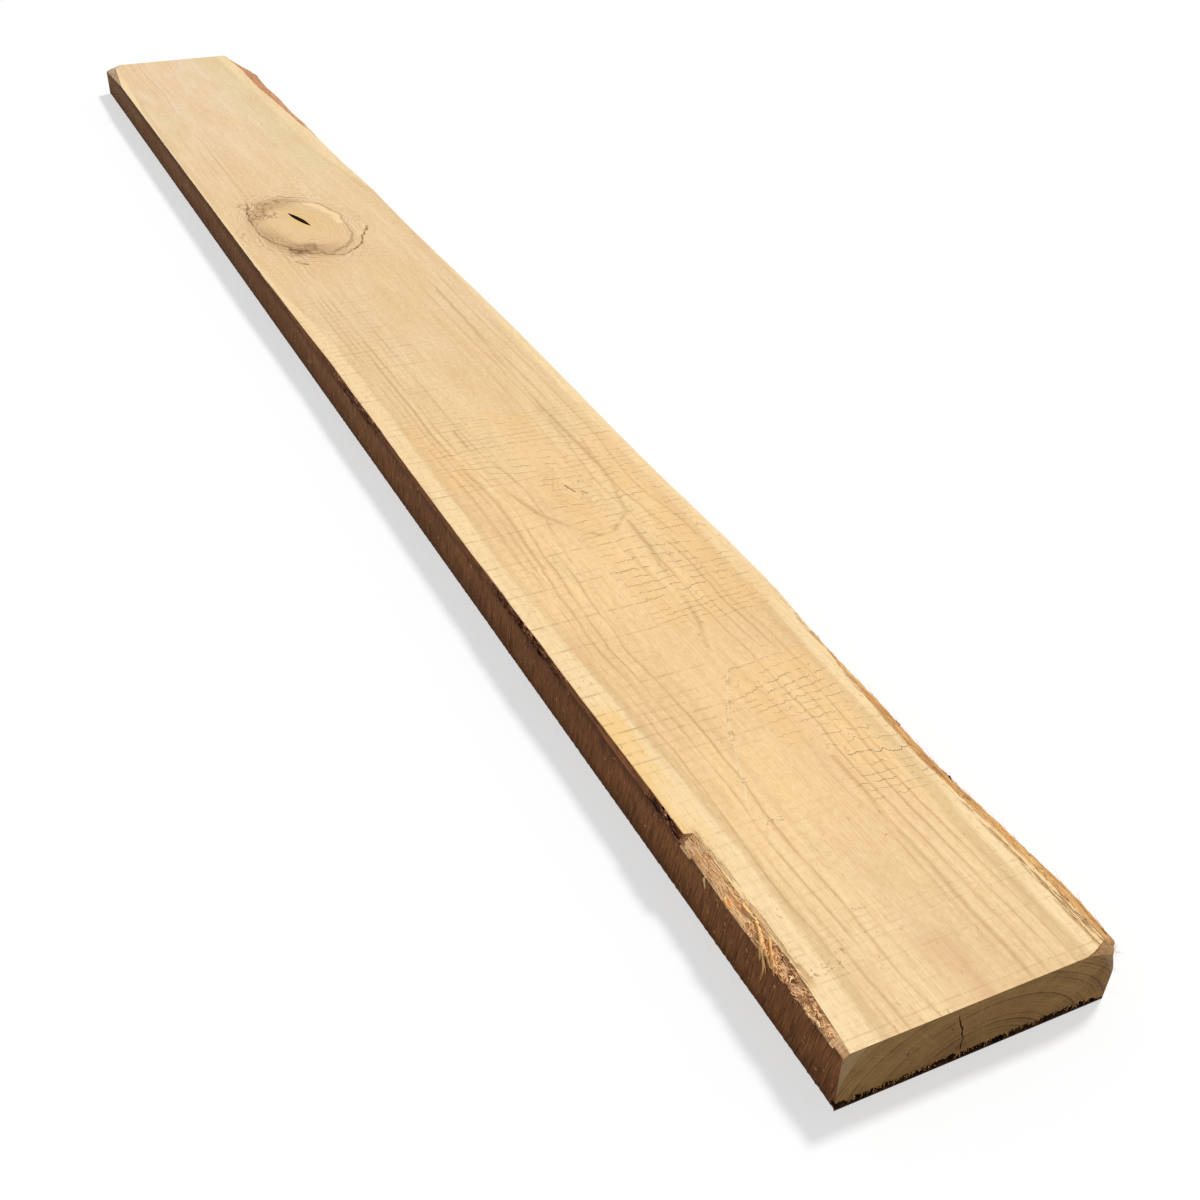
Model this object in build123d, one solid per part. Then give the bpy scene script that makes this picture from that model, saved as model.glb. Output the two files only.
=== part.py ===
from build123d import *
import os

os.makedirs("parts", exist_ok=True)

# A rough-sawn plank of solid timber with one natural edge, lying flat.
# Millimetres. X runs along the plank, the sawn side faces -Y, the natural edge
# faces +Y, and the underside lies on Z = 0.

# Driving dimensions
length = 2500
thickness = 50
far_width = 247
near_width = 212

# Half-way down the natural edge is upright, as the trunk was under its bark.
# Above the belly it slopes in to the top arris, and below it draws in a little.
belly_drop = 7
shoulder_drop = 3
shoulder_share = 0.45
flank_drop = 25
flank_inset = 0.5
underside_inset = 2.5

# Along the natural edge, from the far end: share of the length, how far the
# belly stands beyond the straight taper, and how far the top arris stays inside.
natural_edge = [
    (0.000, -16, 7),
    (0.026, -5.5, 14),
    (0.055, 5.5, 23),
    (0.092, 3, 22),
    (0.122, 5.5, 22),
    (0.153, 3.5, 16),
    (0.200, 5, 13.5),
    (0.247, 1.5, 4),
    (0.300, 0, 2),
    (0.330, 3, 2),
    (0.410, 3, 2),
    (0.500, 5.5, 2),
    (0.630, 6.5, 2),
    (0.720, 4.5, 2),
    (0.780, 6.5, 2),
    (0.840, 5, 3),
    (0.870, 3.5, 9),
    (0.895, 3, 14),
    (0.920, 0, 14),
    (0.945, 1.5, 14),
    (0.975, 4.5, 14.5),
    (1.000, 0.5, 11),
]

# At the near end the natural edge is worn round where it meets the sawn end.
worn_corner_run = 7
worn_corner_width = 4
worn_arris_width = 8

# Wane on the sawn side, where the saw ran out of wood at the top arris.
# Its lengths are measured from the end that each one meets.
near_wane_length = 202
near_wane_width = 10
near_wane_depth = 7.5
near_wane_end_width = 5
near_wane_end_depth = 4
strip_wane_length = 1150
strip_wane_width = 4
strip_wane_depth = 7
corner_wane_length = 165
corner_wane_width = 28
corner_wane_depth = 9
faded_size = 0.6

# The large knot and the drying checks.
knot_from_far_end = 976
knot_from_sawn_side = 101
knot_check_length = 62
knot_check_width = 2
knot_check_depth = 14
knot_check_angle = 13
end_check_from_sawn_side = 88
end_check_wander = 4.5
end_check_margin = 3
end_check_width = 1
end_check_depth = 16
arris_check_from_sawn_side = 139.5
arris_check_lean = 5.5
arris_check_drop = 12
arris_check_length = 34
arris_check_width = 1.2

far_end = -length / 2
near_end = length / 2


def taper(share):
    """Width of the plank at a share of its length, without the wander of the edge."""
    return far_width + (near_width - far_width) * share


def plan(height, arris_part, inset):
    """Closed outline of the plank seen from above, at one height.

    arris_part says how much of the top arris's inset the natural edge has there.
    """
    run = length - worn_corner_run
    edge_points = [
        (far_end + share * run, taper(share) + belly - arris_part * arris - inset)
        for share, belly, arris in natural_edge
    ]
    far_corner = (far_end, 0)
    near_corner = (near_end, 0)
    worn_width = worn_corner_width + arris_part * worn_arris_width
    worn_corner = (near_end, edge_points[-1][1] - worn_width)
    edges = [
        Line(near_corner, far_corner),
        Line(far_corner, edge_points[0]),
        Spline(*edge_points),
        Line(edge_points[-1], worn_corner),
        Line(worn_corner, near_corner),
    ]
    return Pos(0, 0, height) * Wire(edges)


def arris_cutter(stations):
    """Wedge that takes the top arris off the sawn side.

    Each station is its place along X, its width on the top face and its depth
    down the side. The wedge reaches past both faces by half its size.
    """
    reach = 0.5
    sections = []
    for place, width, depth in stations:
        outer_y = -width * reach
        upper_z = thickness + depth * reach
        corners = [
            (place, width * (1 + reach), upper_z),
            (place, outer_y, thickness - depth * (1 + reach)),
            (place, outer_y, upper_z),
        ]
        sections.append(Wire(Polyline(*corners, close=True).edges()))
    return Solid.make_loft(sections, ruled=True)


def check_face(middle_line, width):
    """Face of a crack: a line with its greatest width halfway and pointed ends."""
    first = middle_line[0]
    last = middle_line[-1]
    across = Vector(*last) - Vector(*first)
    side = Vector(-across.Y, across.X).normalized() * (width / 2)
    inner = middle_line[1:-1]
    left = [(x + side.X, y + side.Y) for x, y in inner]
    right = [(x - side.X, y - side.Y) for x, y in inner]
    return make_face([Spline(first, *left, last), Spline(first, *right, last)])


# The body: plan outlines at five heights, joined by straight lines.
levels = [
    plan(0, 0, underside_inset),
    plan(thickness - flank_drop, 0, flank_inset),
    plan(thickness - belly_drop, 0, 0),
    plan(thickness - shoulder_drop, shoulder_share, 0),
    plan(thickness, 1, 0),
]
plank = Solid.make_loft(levels, ruled=True)

# Wane at the near end, the thin strip behind it, and the far corner.
wane_start = near_end - near_wane_length
plank -= arris_cutter([
    (wane_start, near_wane_width, near_wane_depth),
    (near_end - near_wane_length * 0.35, near_wane_width, near_wane_depth * 0.75),
    (near_end + 1, near_wane_end_width, near_wane_end_depth),
])
plank -= arris_cutter([
    (wane_start - strip_wane_length, faded_size, faded_size),
    (wane_start - strip_wane_length * 0.75, strip_wane_width, strip_wane_depth),
    (wane_start - strip_wane_length * 0.4, strip_wane_width * 0.6, strip_wane_depth * 0.8),
    (wane_start + 1, strip_wane_width, strip_wane_depth * 0.6),
])
plank -= arris_cutter([
    (far_end - 1, corner_wane_width, corner_wane_depth),
    (far_end + corner_wane_length * 0.15, corner_wane_width / 2, corner_wane_depth * 0.9),
    (far_end + corner_wane_length, faded_size, faded_size),
])

# The check across the large knot, open to the top face.
half_check = knot_check_length / 2
bow = knot_check_width
knot_check = check_face(
    [(-half_check, 0), (-half_check / 3, bow / 2), (half_check / 3, -bow / 4), (half_check, 0)],
    knot_check_width,
)
knot_place = Pos(far_end + knot_from_far_end, knot_from_sawn_side, thickness - knot_check_depth)
plank -= knot_place * Rot(0, 0, knot_check_angle) * extrude(knot_check, knot_check_depth * 2)

# The wavy check in the near end, and the short one that runs over the top arris.
end_plane = Plane(origin=(near_end - end_check_depth, 0, 0), x_dir=(0, 1, 0), z_dir=(1, 0, 0))
check_bottom = end_check_margin
check_top = thickness - end_check_margin
check_span = check_top - check_bottom
end_check = check_face(
    [
        (end_check_from_sawn_side + end_check_wander, check_bottom),
        (end_check_from_sawn_side + end_check_wander / 2, check_bottom + check_span * 0.3),
        (end_check_from_sawn_side - end_check_wander / 2, check_bottom + check_span * 0.65),
        (end_check_from_sawn_side - end_check_wander, check_top),
    ],
    end_check_width,
)
plank -= end_plane * extrude(end_check, end_check_depth * 2)

arris_foot = arris_check_from_sawn_side - arris_check_lean
arris_check = Polyline(
    (arris_check_from_sawn_side, thickness + 1),
    (arris_foot, thickness - arris_check_drop),
    (arris_check_from_sawn_side + arris_check_width, thickness + 1),
    close=True,
)
arris_back = Vector(near_end - arris_check_length, arris_foot, thickness + 1)
plank -= loft([
    end_plane.offset(end_check_depth + 1) * make_face(arris_check),
    Vertex(*arris_back),
])

# The origin goes to the middle of the plank across its greatest width.
plank = Pos(0, -plank.bounding_box().center().Y, 0) * plank
plank.label = "live_edge_plank"
plank.color = Color(0.78, 0.64, 0.44)

export_step(plank, "parts/live_edge_plank.step")
box = plank.bounding_box()
print("live_edge_plank", round(box.size.X, 2), round(box.size.Y, 2), round(box.size.Z, 2))
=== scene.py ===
# %% [markdown]
# # A live-edge plank, rough from the saw
#
# The plank is one piece of timber. Its size, its natural edge and its drying checks come from the
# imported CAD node, so this lesson starts by loading that node as a fixed frame. Everything that is
# built later is measured from it, in metres, in the same place.

# %% Load the frame
import math
import random
from functools import cached_property, partial, partialmethod, reduce

import bmesh
import bpy
from mathutils import Euler, Matrix, Vector, noise
from mathutils.bvhtree import BVHTree


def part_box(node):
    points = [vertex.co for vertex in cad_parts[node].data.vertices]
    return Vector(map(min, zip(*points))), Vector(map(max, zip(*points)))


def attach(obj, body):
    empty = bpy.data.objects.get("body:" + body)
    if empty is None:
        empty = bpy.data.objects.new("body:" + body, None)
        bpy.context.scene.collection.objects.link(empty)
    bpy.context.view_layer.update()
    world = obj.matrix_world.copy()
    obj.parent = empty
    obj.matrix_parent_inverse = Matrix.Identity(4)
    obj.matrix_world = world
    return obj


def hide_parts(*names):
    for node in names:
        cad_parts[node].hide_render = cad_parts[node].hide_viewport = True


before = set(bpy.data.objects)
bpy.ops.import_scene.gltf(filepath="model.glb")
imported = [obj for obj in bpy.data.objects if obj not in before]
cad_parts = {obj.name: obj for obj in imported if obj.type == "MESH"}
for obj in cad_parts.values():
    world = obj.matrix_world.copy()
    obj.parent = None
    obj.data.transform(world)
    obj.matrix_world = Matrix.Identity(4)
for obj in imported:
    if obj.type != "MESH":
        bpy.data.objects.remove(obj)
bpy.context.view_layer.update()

NODE = "live_edge_plank"
low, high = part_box(NODE)
X_FAR, Y_SAWN, Z_UNDER = low
X_NEAR, Y_NATURAL, Z_TOP = high
LENGTH = X_NEAR - X_FAR
print("plank", [round(side, 4) for side in (LENGTH, Y_NATURAL - Y_SAWN, Z_TOP)])

# %% [markdown]
# ## Reading the plank's section
#
# The CAD node has large plain faces, which are right in shape but hold no vertices for torn wood.
# A finer skin is laid over it. To know where the skin goes, rays are shot sideways at the node: from
# the left they meet the sawn side, from the right the natural edge. A ray tree makes that fast, and
# the skin follows the CAD whatever its sizes are.

# %% A ray tree of the CAD node
plank_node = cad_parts[NODE]
node_mesh = bmesh.new()
node_mesh.from_mesh(plank_node.data)
surface = BVHTree.FromBMesh(node_mesh)
node_mesh.free()

EDGE_OF_REACH = 0.0002


def side_at(x, z, towards):
    """Y of the plank's side at a place along it and a height; towards is +1 from the sawn side."""
    x = min(max(x, X_FAR + EDGE_OF_REACH), X_NEAR - EDGE_OF_REACH)
    z = min(max(z, Z_UNDER + EDGE_OF_REACH), Z_TOP - EDGE_OF_REACH)
    start = Vector((x, -0.5 * towards, z))
    hit = surface.ray_cast(start, Vector((0, towards, 0)))[0]
    return hit.y


print("width at the near end", round(side_at(X_NEAR, 0.03, -1) - side_at(X_NEAR, 0.03, 1), 4))

# %% [markdown]
# ## The skin: a grid wrapped round the section
#
# A flat grid is the easiest even mesh to make. Its one direction becomes the length of the plank and
# its other direction goes round the section: up the sawn side, over the top, down the natural edge
# and back along the underside. The rows stand closer at the near end, and the columns closer at the
# arrises, where the wood is torn and the eye looks.

# %% How the grid's rows and columns are spread
ROWS = 820
SIDE_STEPS = 22
TOP_STEPS = 50
UNDER_STEPS = 16
ROUND_STEPS = SIDE_STEPS * 2 + TOP_STEPS + UNDER_STEPS
NEAR_PULL = 0.42
TOP_PULL = 0.8
ARRIS_PULL = 1.8


def row_place(share):
    """X of a row; the rows are closer at the near end than at the far end."""
    return X_FAR + LENGTH * (share + NEAR_PULL * share * (1 - share))


def crowded(share):
    """A share from 0 to 1 whose steps are shorter near both ends."""
    return share - TOP_PULL * math.sin(2 * math.pi * share) / (2 * math.pi)


def up_the_side(share):
    """Height of a column on a side; the steps are shorter near the top arris."""
    return Z_TOP * (1 - (1 - share) ** ARRIS_PULL)


CORNER_ROUND, CORNER_DEEP = 0.011, 0.026


def corner_in(x, z):
    """How far the natural edge is drawn in where its top arris turns into the near end."""
    along = min(max((x - X_NEAR + CORNER_ROUND) / CORNER_ROUND, 0), 1)
    down = min((Z_TOP - z) / CORNER_DEEP, 1)
    return CORNER_ROUND * 0.8 * (1 - math.sqrt(1 - along * along)) * (1 - down) ** 1.5


def section_point(x, step):
    """Where a column of the grid lies on the section at x."""
    if step <= SIDE_STEPS:
        z = up_the_side(step / SIDE_STEPS)
        return Vector((x, side_at(x, z, 1), z))
    step -= SIDE_STEPS
    if step < TOP_STEPS:
        left = side_at(x, Z_TOP, 1)
        right = side_at(x, Z_TOP, -1) - corner_in(x, Z_TOP)
        return Vector((x, left + (right - left) * crowded(step / TOP_STEPS), Z_TOP))
    step -= TOP_STEPS
    if step <= SIDE_STEPS:
        z = up_the_side(1 - step / SIDE_STEPS)
        return Vector((x, side_at(x, z, -1) - corner_in(x, z), z))
    step -= SIDE_STEPS
    left = side_at(x, Z_UNDER, 1)
    right = side_at(x, Z_UNDER, -1)
    return Vector((x, right + (left - right) * step / UNDER_STEPS, Z_UNDER))


# %% Wrap the grid and close its seam
SEAM_GAP = 0.00001
TOP_SLOT, SIDE_SLOT, EDGE_SLOT, END_SLOT, CHECK_SLOT, TORN_SLOT, KNOT_SLOT, NEAR_SLOT = range(8)
KNOT_PART_ENDS, NEAR_PART_STARTS = -0.04, 0.70
WANE_SHOWS = 0.0006

skin = bmesh.new()
bmesh.ops.create_grid(skin, x_segments=ROWS, y_segments=ROUND_STEPS, size=0.5)
for face in skin.faces:
    step = (face.calc_center_median().y + 0.5) * ROUND_STEPS
    on_natural_edge = SIDE_STEPS + TOP_STEPS < step < SIDE_STEPS * 2 + TOP_STEPS
    on_sawn_side = step < SIDE_STEPS
    face.material_index = SIDE_SLOT if on_sawn_side else EDGE_SLOT if on_natural_edge else TOP_SLOT
for vert in skin.verts:
    row = round((vert.co.x + 0.5) * ROWS)
    step = round((vert.co.y + 0.5) * ROUND_STEPS)
    vert.co = section_point(row_place(row / ROWS), step)
bmesh.ops.remove_doubles(skin, verts=skin.verts, dist=SEAM_GAP)
for face in skin.faces:
    middle = face.calc_center_median()
    if face.material_index == SIDE_SLOT and middle.y > Y_SAWN + WANE_SHOWS:
        face.material_index = TORN_SLOT
    if face.material_index == TOP_SLOT and middle.x < KNOT_PART_ENDS:
        face.material_index = KNOT_SLOT
    if face.material_index == TOP_SLOT and middle.x > NEAR_PART_STARTS:
        face.material_index = NEAR_SLOT
rims = [edge for edge in skin.edges if edge.is_boundary]
for face in bmesh.ops.holes_fill(skin, edges=rims, sides=0)["faces"]:
    face.material_index = END_SLOT
bmesh.ops.recalc_face_normals(skin, faces=skin.faces)
print("skin vertices", len(skin.verts), "faces", len(skin.faces))

# %% [markdown]
# ## Torn relief on the sides
#
# Where the bark came off, the wood is left in long ridges, and near the end the arris is crumbled
# into pits. The sawn side is hairy and scratched. Noise that is stretched along the plank gives the
# ridges, and round noise the pits. It pushes the skin inwards only, so the plank never grows past
# its real size.

# %% Push the skin in
CRUMBLE_FROM, CRUMBLE_TO = X_NEAR - 0.105, X_NEAR - 0.018
RIDGE_DEPTH = 0.0014
PIT_DEPTH = 0.0024
SAWN_DEPTH = 0.0009


def soft_step(value, start, end):
    """0 before start, 1 after end, and smooth between them."""
    share = min(max((value - start) / (end - start), 0), 1)
    return share * share * (3 - 2 * share)


def crumbled(at):
    """How crumbled the torn arris is at a place along the near end."""
    begun = soft_step(at.x, CRUMBLE_FROM, CRUMBLE_FROM + 0.02)
    return begun * (1 - soft_step(at.x, CRUMBLE_TO - 0.008, CRUMBLE_TO))


def push_depth(at, slots):
    ridge = 0.5 + 0.5 * noise.fractal(Vector((at.x * 16, at.y * 190, at.z * 260)), 0.7, 2.1, 3)
    pit = max(noise.fractal(Vector((at.x * 170, at.y * 260, at.z * 260 + 7)), 0.8, 2.2, 2), 0)
    if TORN_SLOT in slots:
        return RIDGE_DEPTH * 0.7 * ridge + PIT_DEPTH * crumbled(at) * pit
    if EDGE_SLOT in slots:
        return RIDGE_DEPTH * ridge + RIDGE_DEPTH * 0.6 * pit
    if SIDE_SLOT in slots:
        scratch = noise.fractal(Vector((at.x * 330, 0, at.z * 24)), 0.8, 2.1, 2)
        return SAWN_DEPTH * (1 + 0.6 * scratch)
    return 0


skin.normal_update()
pushes = {}
for vert in skin.verts:
    slots = {face.material_index for face in vert.link_faces}
    depth = max(push_depth(vert.co, slots), 0)
    on_arris = SIDE_SLOT in slots and slots & {TOP_SLOT, KNOT_SLOT, NEAR_SLOT}
    if depth > 0 and abs(vert.co.x) < X_NEAR - 0.0001:
        inward = -vert.normal if not on_arris else Vector((0, 1, 0))
        pushes[vert] = inward * depth
for vert, push in pushes.items():
    vert.co += push
    vert.co.z = min(max(vert.co.z, Z_UNDER), Z_TOP)
print("torn vertices", len(pushes))

# %% The skin as an object


def as_mesh(name, shape):
    """Ends the modelling of a shape and keeps it as a mesh."""
    mesh = bpy.data.meshes.new(name)
    shape.to_mesh(mesh)
    shape.free()
    return mesh


def linked(name, data):
    """Makes an object of a mesh, a camera or a light, and puts it in the scene."""
    made = bpy.data.objects.new(name, data)
    bpy.context.collection.objects.link(made)
    return made


plank = linked("plank_skin", as_mesh("plank_skin", skin))
print("skin object", plank.name)

# %% [markdown]
# ## Checks and the broken bottom arris
#
# The timber has opened while it dried: a slit in the heart of the big knot, a crack down the near
# end and a short one over its top arris. Each is cut with a thin blade whose middle bulges and whose
# line wanders. The blade starts as a cube that is divided along its length, because a Boolean needs
# a closed solid. The same tool crumbles the bottom arris of the near end, where the saw broke out.

# %% Blades for the Boolean
blades = []


def blade(name, start, end, depth, width, wander, turns, open_end=False, nicks=9, cuts=26):
    """A lens-shaped blade along a wandering line from start to end, cutting in along depth."""
    start, end, depth = Vector(start), Vector(end), Vector(depth)
    along = end - start
    across = along.cross(depth).normalized()
    outside = depth.normalized() * 0.002
    shape = bmesh.new()
    bmesh.ops.create_cube(shape, size=1)
    long_edges = [e for e in shape.edges if abs(e.verts[0].co.x - e.verts[1].co.x) > 0.5]
    bmesh.ops.subdivide_edges(shape, edges=long_edges, cuts=cuts)
    for vert in shape.verts:
        share = vert.co.x + 0.5
        inside = 0.5 - vert.co.z
        lens = max(1 - share if open_end else math.sin(math.pi * share), 0.04) ** 0.7
        ragged = 0.8 + 0.5 * noise.noise(Vector((share * nicks, vert.co.y * 3, width * 900)))
        shift = wander * noise.noise(Vector((share * turns, 5.3, wander * 700))) * lens
        side = shift + width * vert.co.y * lens * ragged * (1 - 0.75 * inside)
        vert.co = start + along * share + across * side + depth * inside - outside * (1 - inside)
    bmesh.ops.recalc_face_normals(shape, faces=shape.faces)
    for face in shape.faces:
        face.material_index = CHECK_SLOT
    blades.append(linked(name, as_mesh(name, shape)))


def on_plank(x, from_sawn_side, z):
    """A point given by its distance from the sawn side."""
    return (x, Y_SAWN + from_sawn_side, z)


KNOT_SLIT = (on_plank(-0.305, 0.0940, Z_TOP), on_plank(-0.243, 0.1090, Z_TOP))
END_CHECK = (on_plank(X_NEAR, 0.0838, 0.0475), on_plank(X_NEAR, 0.0935, 0.002))
ARRIS_CHECK = (on_plank(X_NEAR + 0.002, 0.1393, Z_TOP), on_plank(X_NEAR - 0.036, 0.1400, Z_TOP))
blade("slit_blade", *KNOT_SLIT, depth=(0, 0, -0.014), width=0.0112, wander=0.0012, turns=2, nicks=2)
blade("end_blade", *END_CHECK, depth=(-0.016, 0, 0), width=0.0013, wander=0.0034, turns=7)
blade("arris_blade", *ARRIS_CHECK, depth=(0, -0.005, -0.0115), width=0.0015, wander=0.0014, turns=3,
      open_end=True)
print("blades", len(blades))

# %% A ragged bar for the broken bottom arris
BREAK_DEEP, BREAK_HIGH = 0.0056, 0.0098

break_bar = bmesh.new()
bmesh.ops.create_cube(break_bar, size=1)
long_edges = [e for e in break_bar.edges if abs(e.verts[0].co.y - e.verts[1].co.y) > 0.5]
bmesh.ops.subdivide_edges(break_bar, edges=long_edges, cuts=170)
break_from, break_to = Y_SAWN - 0.003, side_at(X_NEAR, 0.003, -1) - 0.004
for vert in break_bar.verts:
    y = break_from + (break_to - break_from) * (vert.co.y + 0.5)
    ragged = 0.85 + 0.35 * noise.fractal(Vector((y * 210, vert.co.x * 2, vert.co.z * 2)), 0.8, 2.1, 3)
    ragged *= min(1, 0.30 + (break_to - y) / 0.012)
    x = X_NEAR - BREAK_DEEP * ragged if vert.co.x < 0 else X_NEAR + 0.003
    lip = 0.0011 + 0.0010 * noise.noise(Vector((y * 400, 9.1, 0)))
    z = BREAK_HIGH * ragged * (1 if vert.co.x > 0 else 0.55) if vert.co.z > 0 else lip
    vert.co = (x, y, z)
for face in break_bar.faces:
    face.material_index = CHECK_SLOT
blades.append(linked("break_bar", as_mesh("break_bar", break_bar)))
print("tools", len(blades))

# %% [markdown]
# ## The finishes' places
#
# The skin gets its eight finishes as empty materials first, in the order of the slots, so that a face
# cut by a blade keeps the blade's slot. Their node trees are filled in further down.

# %% Cut the blades out
FINISH_NAMES = ("sawn_face", "sawn_side", "natural_edge", "end_grain", "check_wall", "torn_arris",
                "sawn_face_knot", "sawn_face_near")
finishes = {name: bpy.data.materials.new(name) for name in FINISH_NAMES}
for cut_object in [plank, *blades]:
    for name in FINISH_NAMES:
        cut_object.data.materials.append(finishes[name])

for tool in blades:
    cut = plank.modifiers.new(tool.name, "BOOLEAN")
    cut.operation = "DIFFERENCE"
    cut.solver = "EXACT"
    cut.object = tool
ready = plank.evaluated_get(bpy.context.evaluated_depsgraph_get())
cut_mesh = bpy.data.meshes.new_from_object(ready)
plank.modifiers.clear()
plank.data = cut_mesh
plank.data.name = "plank_skin"
for tool in blades:
    bpy.data.objects.remove(tool)
slots = range(len(FINISH_NAMES))
in_slots = [sum(face.material_index == slot for face in cut_mesh.polygons) for slot in slots]
print("skin after the cuts", len(cut_mesh.polygons), "faces in slots", in_slots)

# %% Which edges of the skin are sharp
SHARP_ANGLE = math.radians(34)
TOO_SHORT = 0.000002

skin = bmesh.new()
skin.from_mesh(plank.data)
bmesh.ops.dissolve_degenerate(skin, edges=skin.edges, dist=TOO_SHORT)
for edge in skin.edges:
    edge.smooth = len(edge.link_faces) == 2 and edge.calc_face_angle(0) < SHARP_ANGLE
for face in skin.faces:
    face.smooth = True
skin.to_mesh(plank.data)
open_edges = sum(1 for edge in skin.edges if len(edge.link_faces) != 2)
skin.free()
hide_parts(NODE)
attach(plank, "root")
print("open edges", open_edges)

# %% [markdown]
# ## Loose fibres and bark
#
# The saw left thin strands hanging from the torn arris, a fringe along the bottom of the near end,
# and the bark left dark flakes. Each kind is one joined mesh: a few templates are modelled once, a
# strand from a cone that is divided and bent, a flake from a grid, and copies are turned and scaled
# into place. Seeded draws keep the result the same in each run.

# %% Templates
dice = random.Random(7)


def strand_template(bend, curl, kink, thick=0.02):
    """A tapered strand of unit length along X, starting at the origin."""
    shape = bmesh.new()
    bmesh.ops.create_cone(shape, cap_ends=True, segments=4, radius1=1, radius2=0.3, depth=1)
    long_edges = [e for e in shape.edges if abs(e.verts[0].co.z - e.verts[1].co.z) > 0.5]
    bmesh.ops.subdivide_edges(shape, edges=long_edges, cuts=6)
    for vert in shape.verts:
        share = vert.co.z + 0.5
        sway = bend * share * share + kink * math.sin(math.pi * 2 * share)
        lift = curl * math.sin(math.pi * share)
        vert.co = Vector((share, sway + vert.co.x * thick, lift + vert.co.y * thick))
    bmesh.ops.recalc_face_normals(shape, faces=shape.faces)
    for face in shape.faces:
        face.smooth = True
    return as_mesh("strand", shape)


def flake_template(seed):
    """A ragged curled chip about one unit long, 0.5 wide and 0.1 thick."""
    shape = bmesh.new()
    bmesh.ops.create_grid(shape, x_segments=5, y_segments=3, size=0.5)
    for vert in shape.verts:
        at = vert.co.copy()
        edge = 1 + 0.35 * noise.noise(Vector((at.x * 3 + seed, at.y * 3, seed * 2.7)))
        height = 0.12 * noise.noise(Vector((at.x * 4, at.y * 4 + seed, 1.7))) - 0.35 * at.y * at.y
        vert.co = Vector((at.x * edge, at.y * 0.5 * edge, height))
    bmesh.ops.solidify(shape, geom=shape.faces[:], thickness=0.09)
    bmesh.ops.recalc_face_normals(shape, faces=shape.faces)
    return as_mesh("flake", shape)


FORMS = ((0.10, 0.05, 0.00), (-0.22, 0.10, 0.03), (0.35, 0.16, -0.04), (0.05, 0.28, 0.08),
         (-0.5, 0.32, 0.05))
STRANDS = [strand_template(*form) for form in FORMS]
STUBS = [strand_template(*form, thick=0.06) for form in FORMS]
FLAKES = [flake_template(seed) for seed in range(5)]
print("templates", [len(mesh.polygons) for mesh in STRANDS + FLAKES])

# %% Laying copies


def lay(into, template, place, turn, size):
    """Adds a copy of a template at a place, turned by Euler angles and scaled along its own axes."""
    before = len(into.verts)
    into.from_mesh(template)
    into.verts.ensure_lookup_table()
    matrix = Matrix.LocRotScale(Vector(place), Euler(turn), Vector(size))
    bmesh.ops.transform(into, matrix=matrix, verts=into.verts[before:])


def keep_in_the_box(shape, margin=0.00015):
    """No loose bit stands out of the plank's real size."""
    for vert in shape.verts:
        vert.co.x = min(max(vert.co.x, X_FAR + margin), X_NEAR - margin)
        vert.co.y = min(max(vert.co.y, Y_SAWN + margin), Y_NATURAL - margin)
        vert.co.z = min(max(vert.co.z, Z_UNDER + margin), Z_TOP - margin)


def as_piece(name, shape, finish):
    """Keeps the copies laid so far as one piece of the plank."""
    keep_in_the_box(shape)
    piece = linked(name, as_mesh(name, shape))
    piece.data.materials.append(finish)
    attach(piece, "root")
    print(name, len(piece.data.polygons), "faces")


def arris_point(x, share, lift=0.0):
    """A point on the torn facet above the sawn side: share is 0 at its lower edge and 1 on top."""
    top_y = side_at(x, Z_TOP, 1)
    foot_z = next((z / 1000 for z in range(50, 34, -1) if side_at(x, z / 1000, 1) < Y_SAWN + 0.0003), 0.044)
    y = Y_SAWN + (top_y - Y_SAWN) * share
    z = foot_z + (Z_TOP - foot_z) * share
    return Vector((x, y, z + lift))


fibre_finish = bpy.data.materials.new("loose_fibre")
crumb_finish = bpy.data.materials.new("torn_crumb")
bark_finish = bpy.data.materials.new("bark")
fringe_finish = bpy.data.materials.new("fringe_fibre")

# %% [markdown]
# ## Splinters on the torn arris
#
# A few long splinters are what the eye finds first on this plank, so each is laid one by one: a strand
# of its own is bent through the points that it passes. They start on the facet, lean over its lower
# edge and hang against the sawn side.

# %% Long splinters
SPLINTERS = [
    [(1.134, 0.0098, 0.0490), (1.149, 0.0058, 0.0488), (1.163, 0.0014, 0.0462), (1.1725, 0.0005, 0.0432)],
    [(1.136, 0.0092, 0.0490), (1.150, 0.0042, 0.0485), (1.1565, 0.0006, 0.0430), (1.1572, 0.0004, 0.0370)],
    [(1.152, 0.0096, 0.0492), (1.164, 0.0040, 0.0482), (1.1715, 0.0008, 0.0450), (1.1745, 0.0004, 0.0405)],
    [(1.150, 0.0050, 0.0480), (1.159, 0.0008, 0.0440), (1.1625, 0.0004, 0.0400), (1.1655, 0.0004, 0.0335)],
    [(1.155, 0.0030, 0.0470), (1.161, 0.0006, 0.0400), (1.1625, 0.0004, 0.0330), (1.1596, 0.0004, 0.0200)],
    [(1.108, 0.0022, 0.0462), (1.1155, 0.0004, 0.0447), (1.120, 0.0012, 0.0470), (1.1265, 0.0026, 0.0478)],
    [(1.0835, 0.0006, 0.0430), (1.0845, 0.0004, 0.0400), (1.0852, 0.0004, 0.0375), (1.0862, 0.0004, 0.0350)],
    [(1.119, 0.0100, 0.0490), (1.126, 0.0078, 0.0498), (1.132, 0.0098, 0.0497), (1.127, 0.0112, 0.0494)],
    [(1.122, 0.0105, 0.0485), (1.129, 0.0085, 0.0492), (1.136, 0.0090, 0.0497), (1.133, 0.0120, 0.0497)],
]
SPLINTER_THICK = 0.0046


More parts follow.
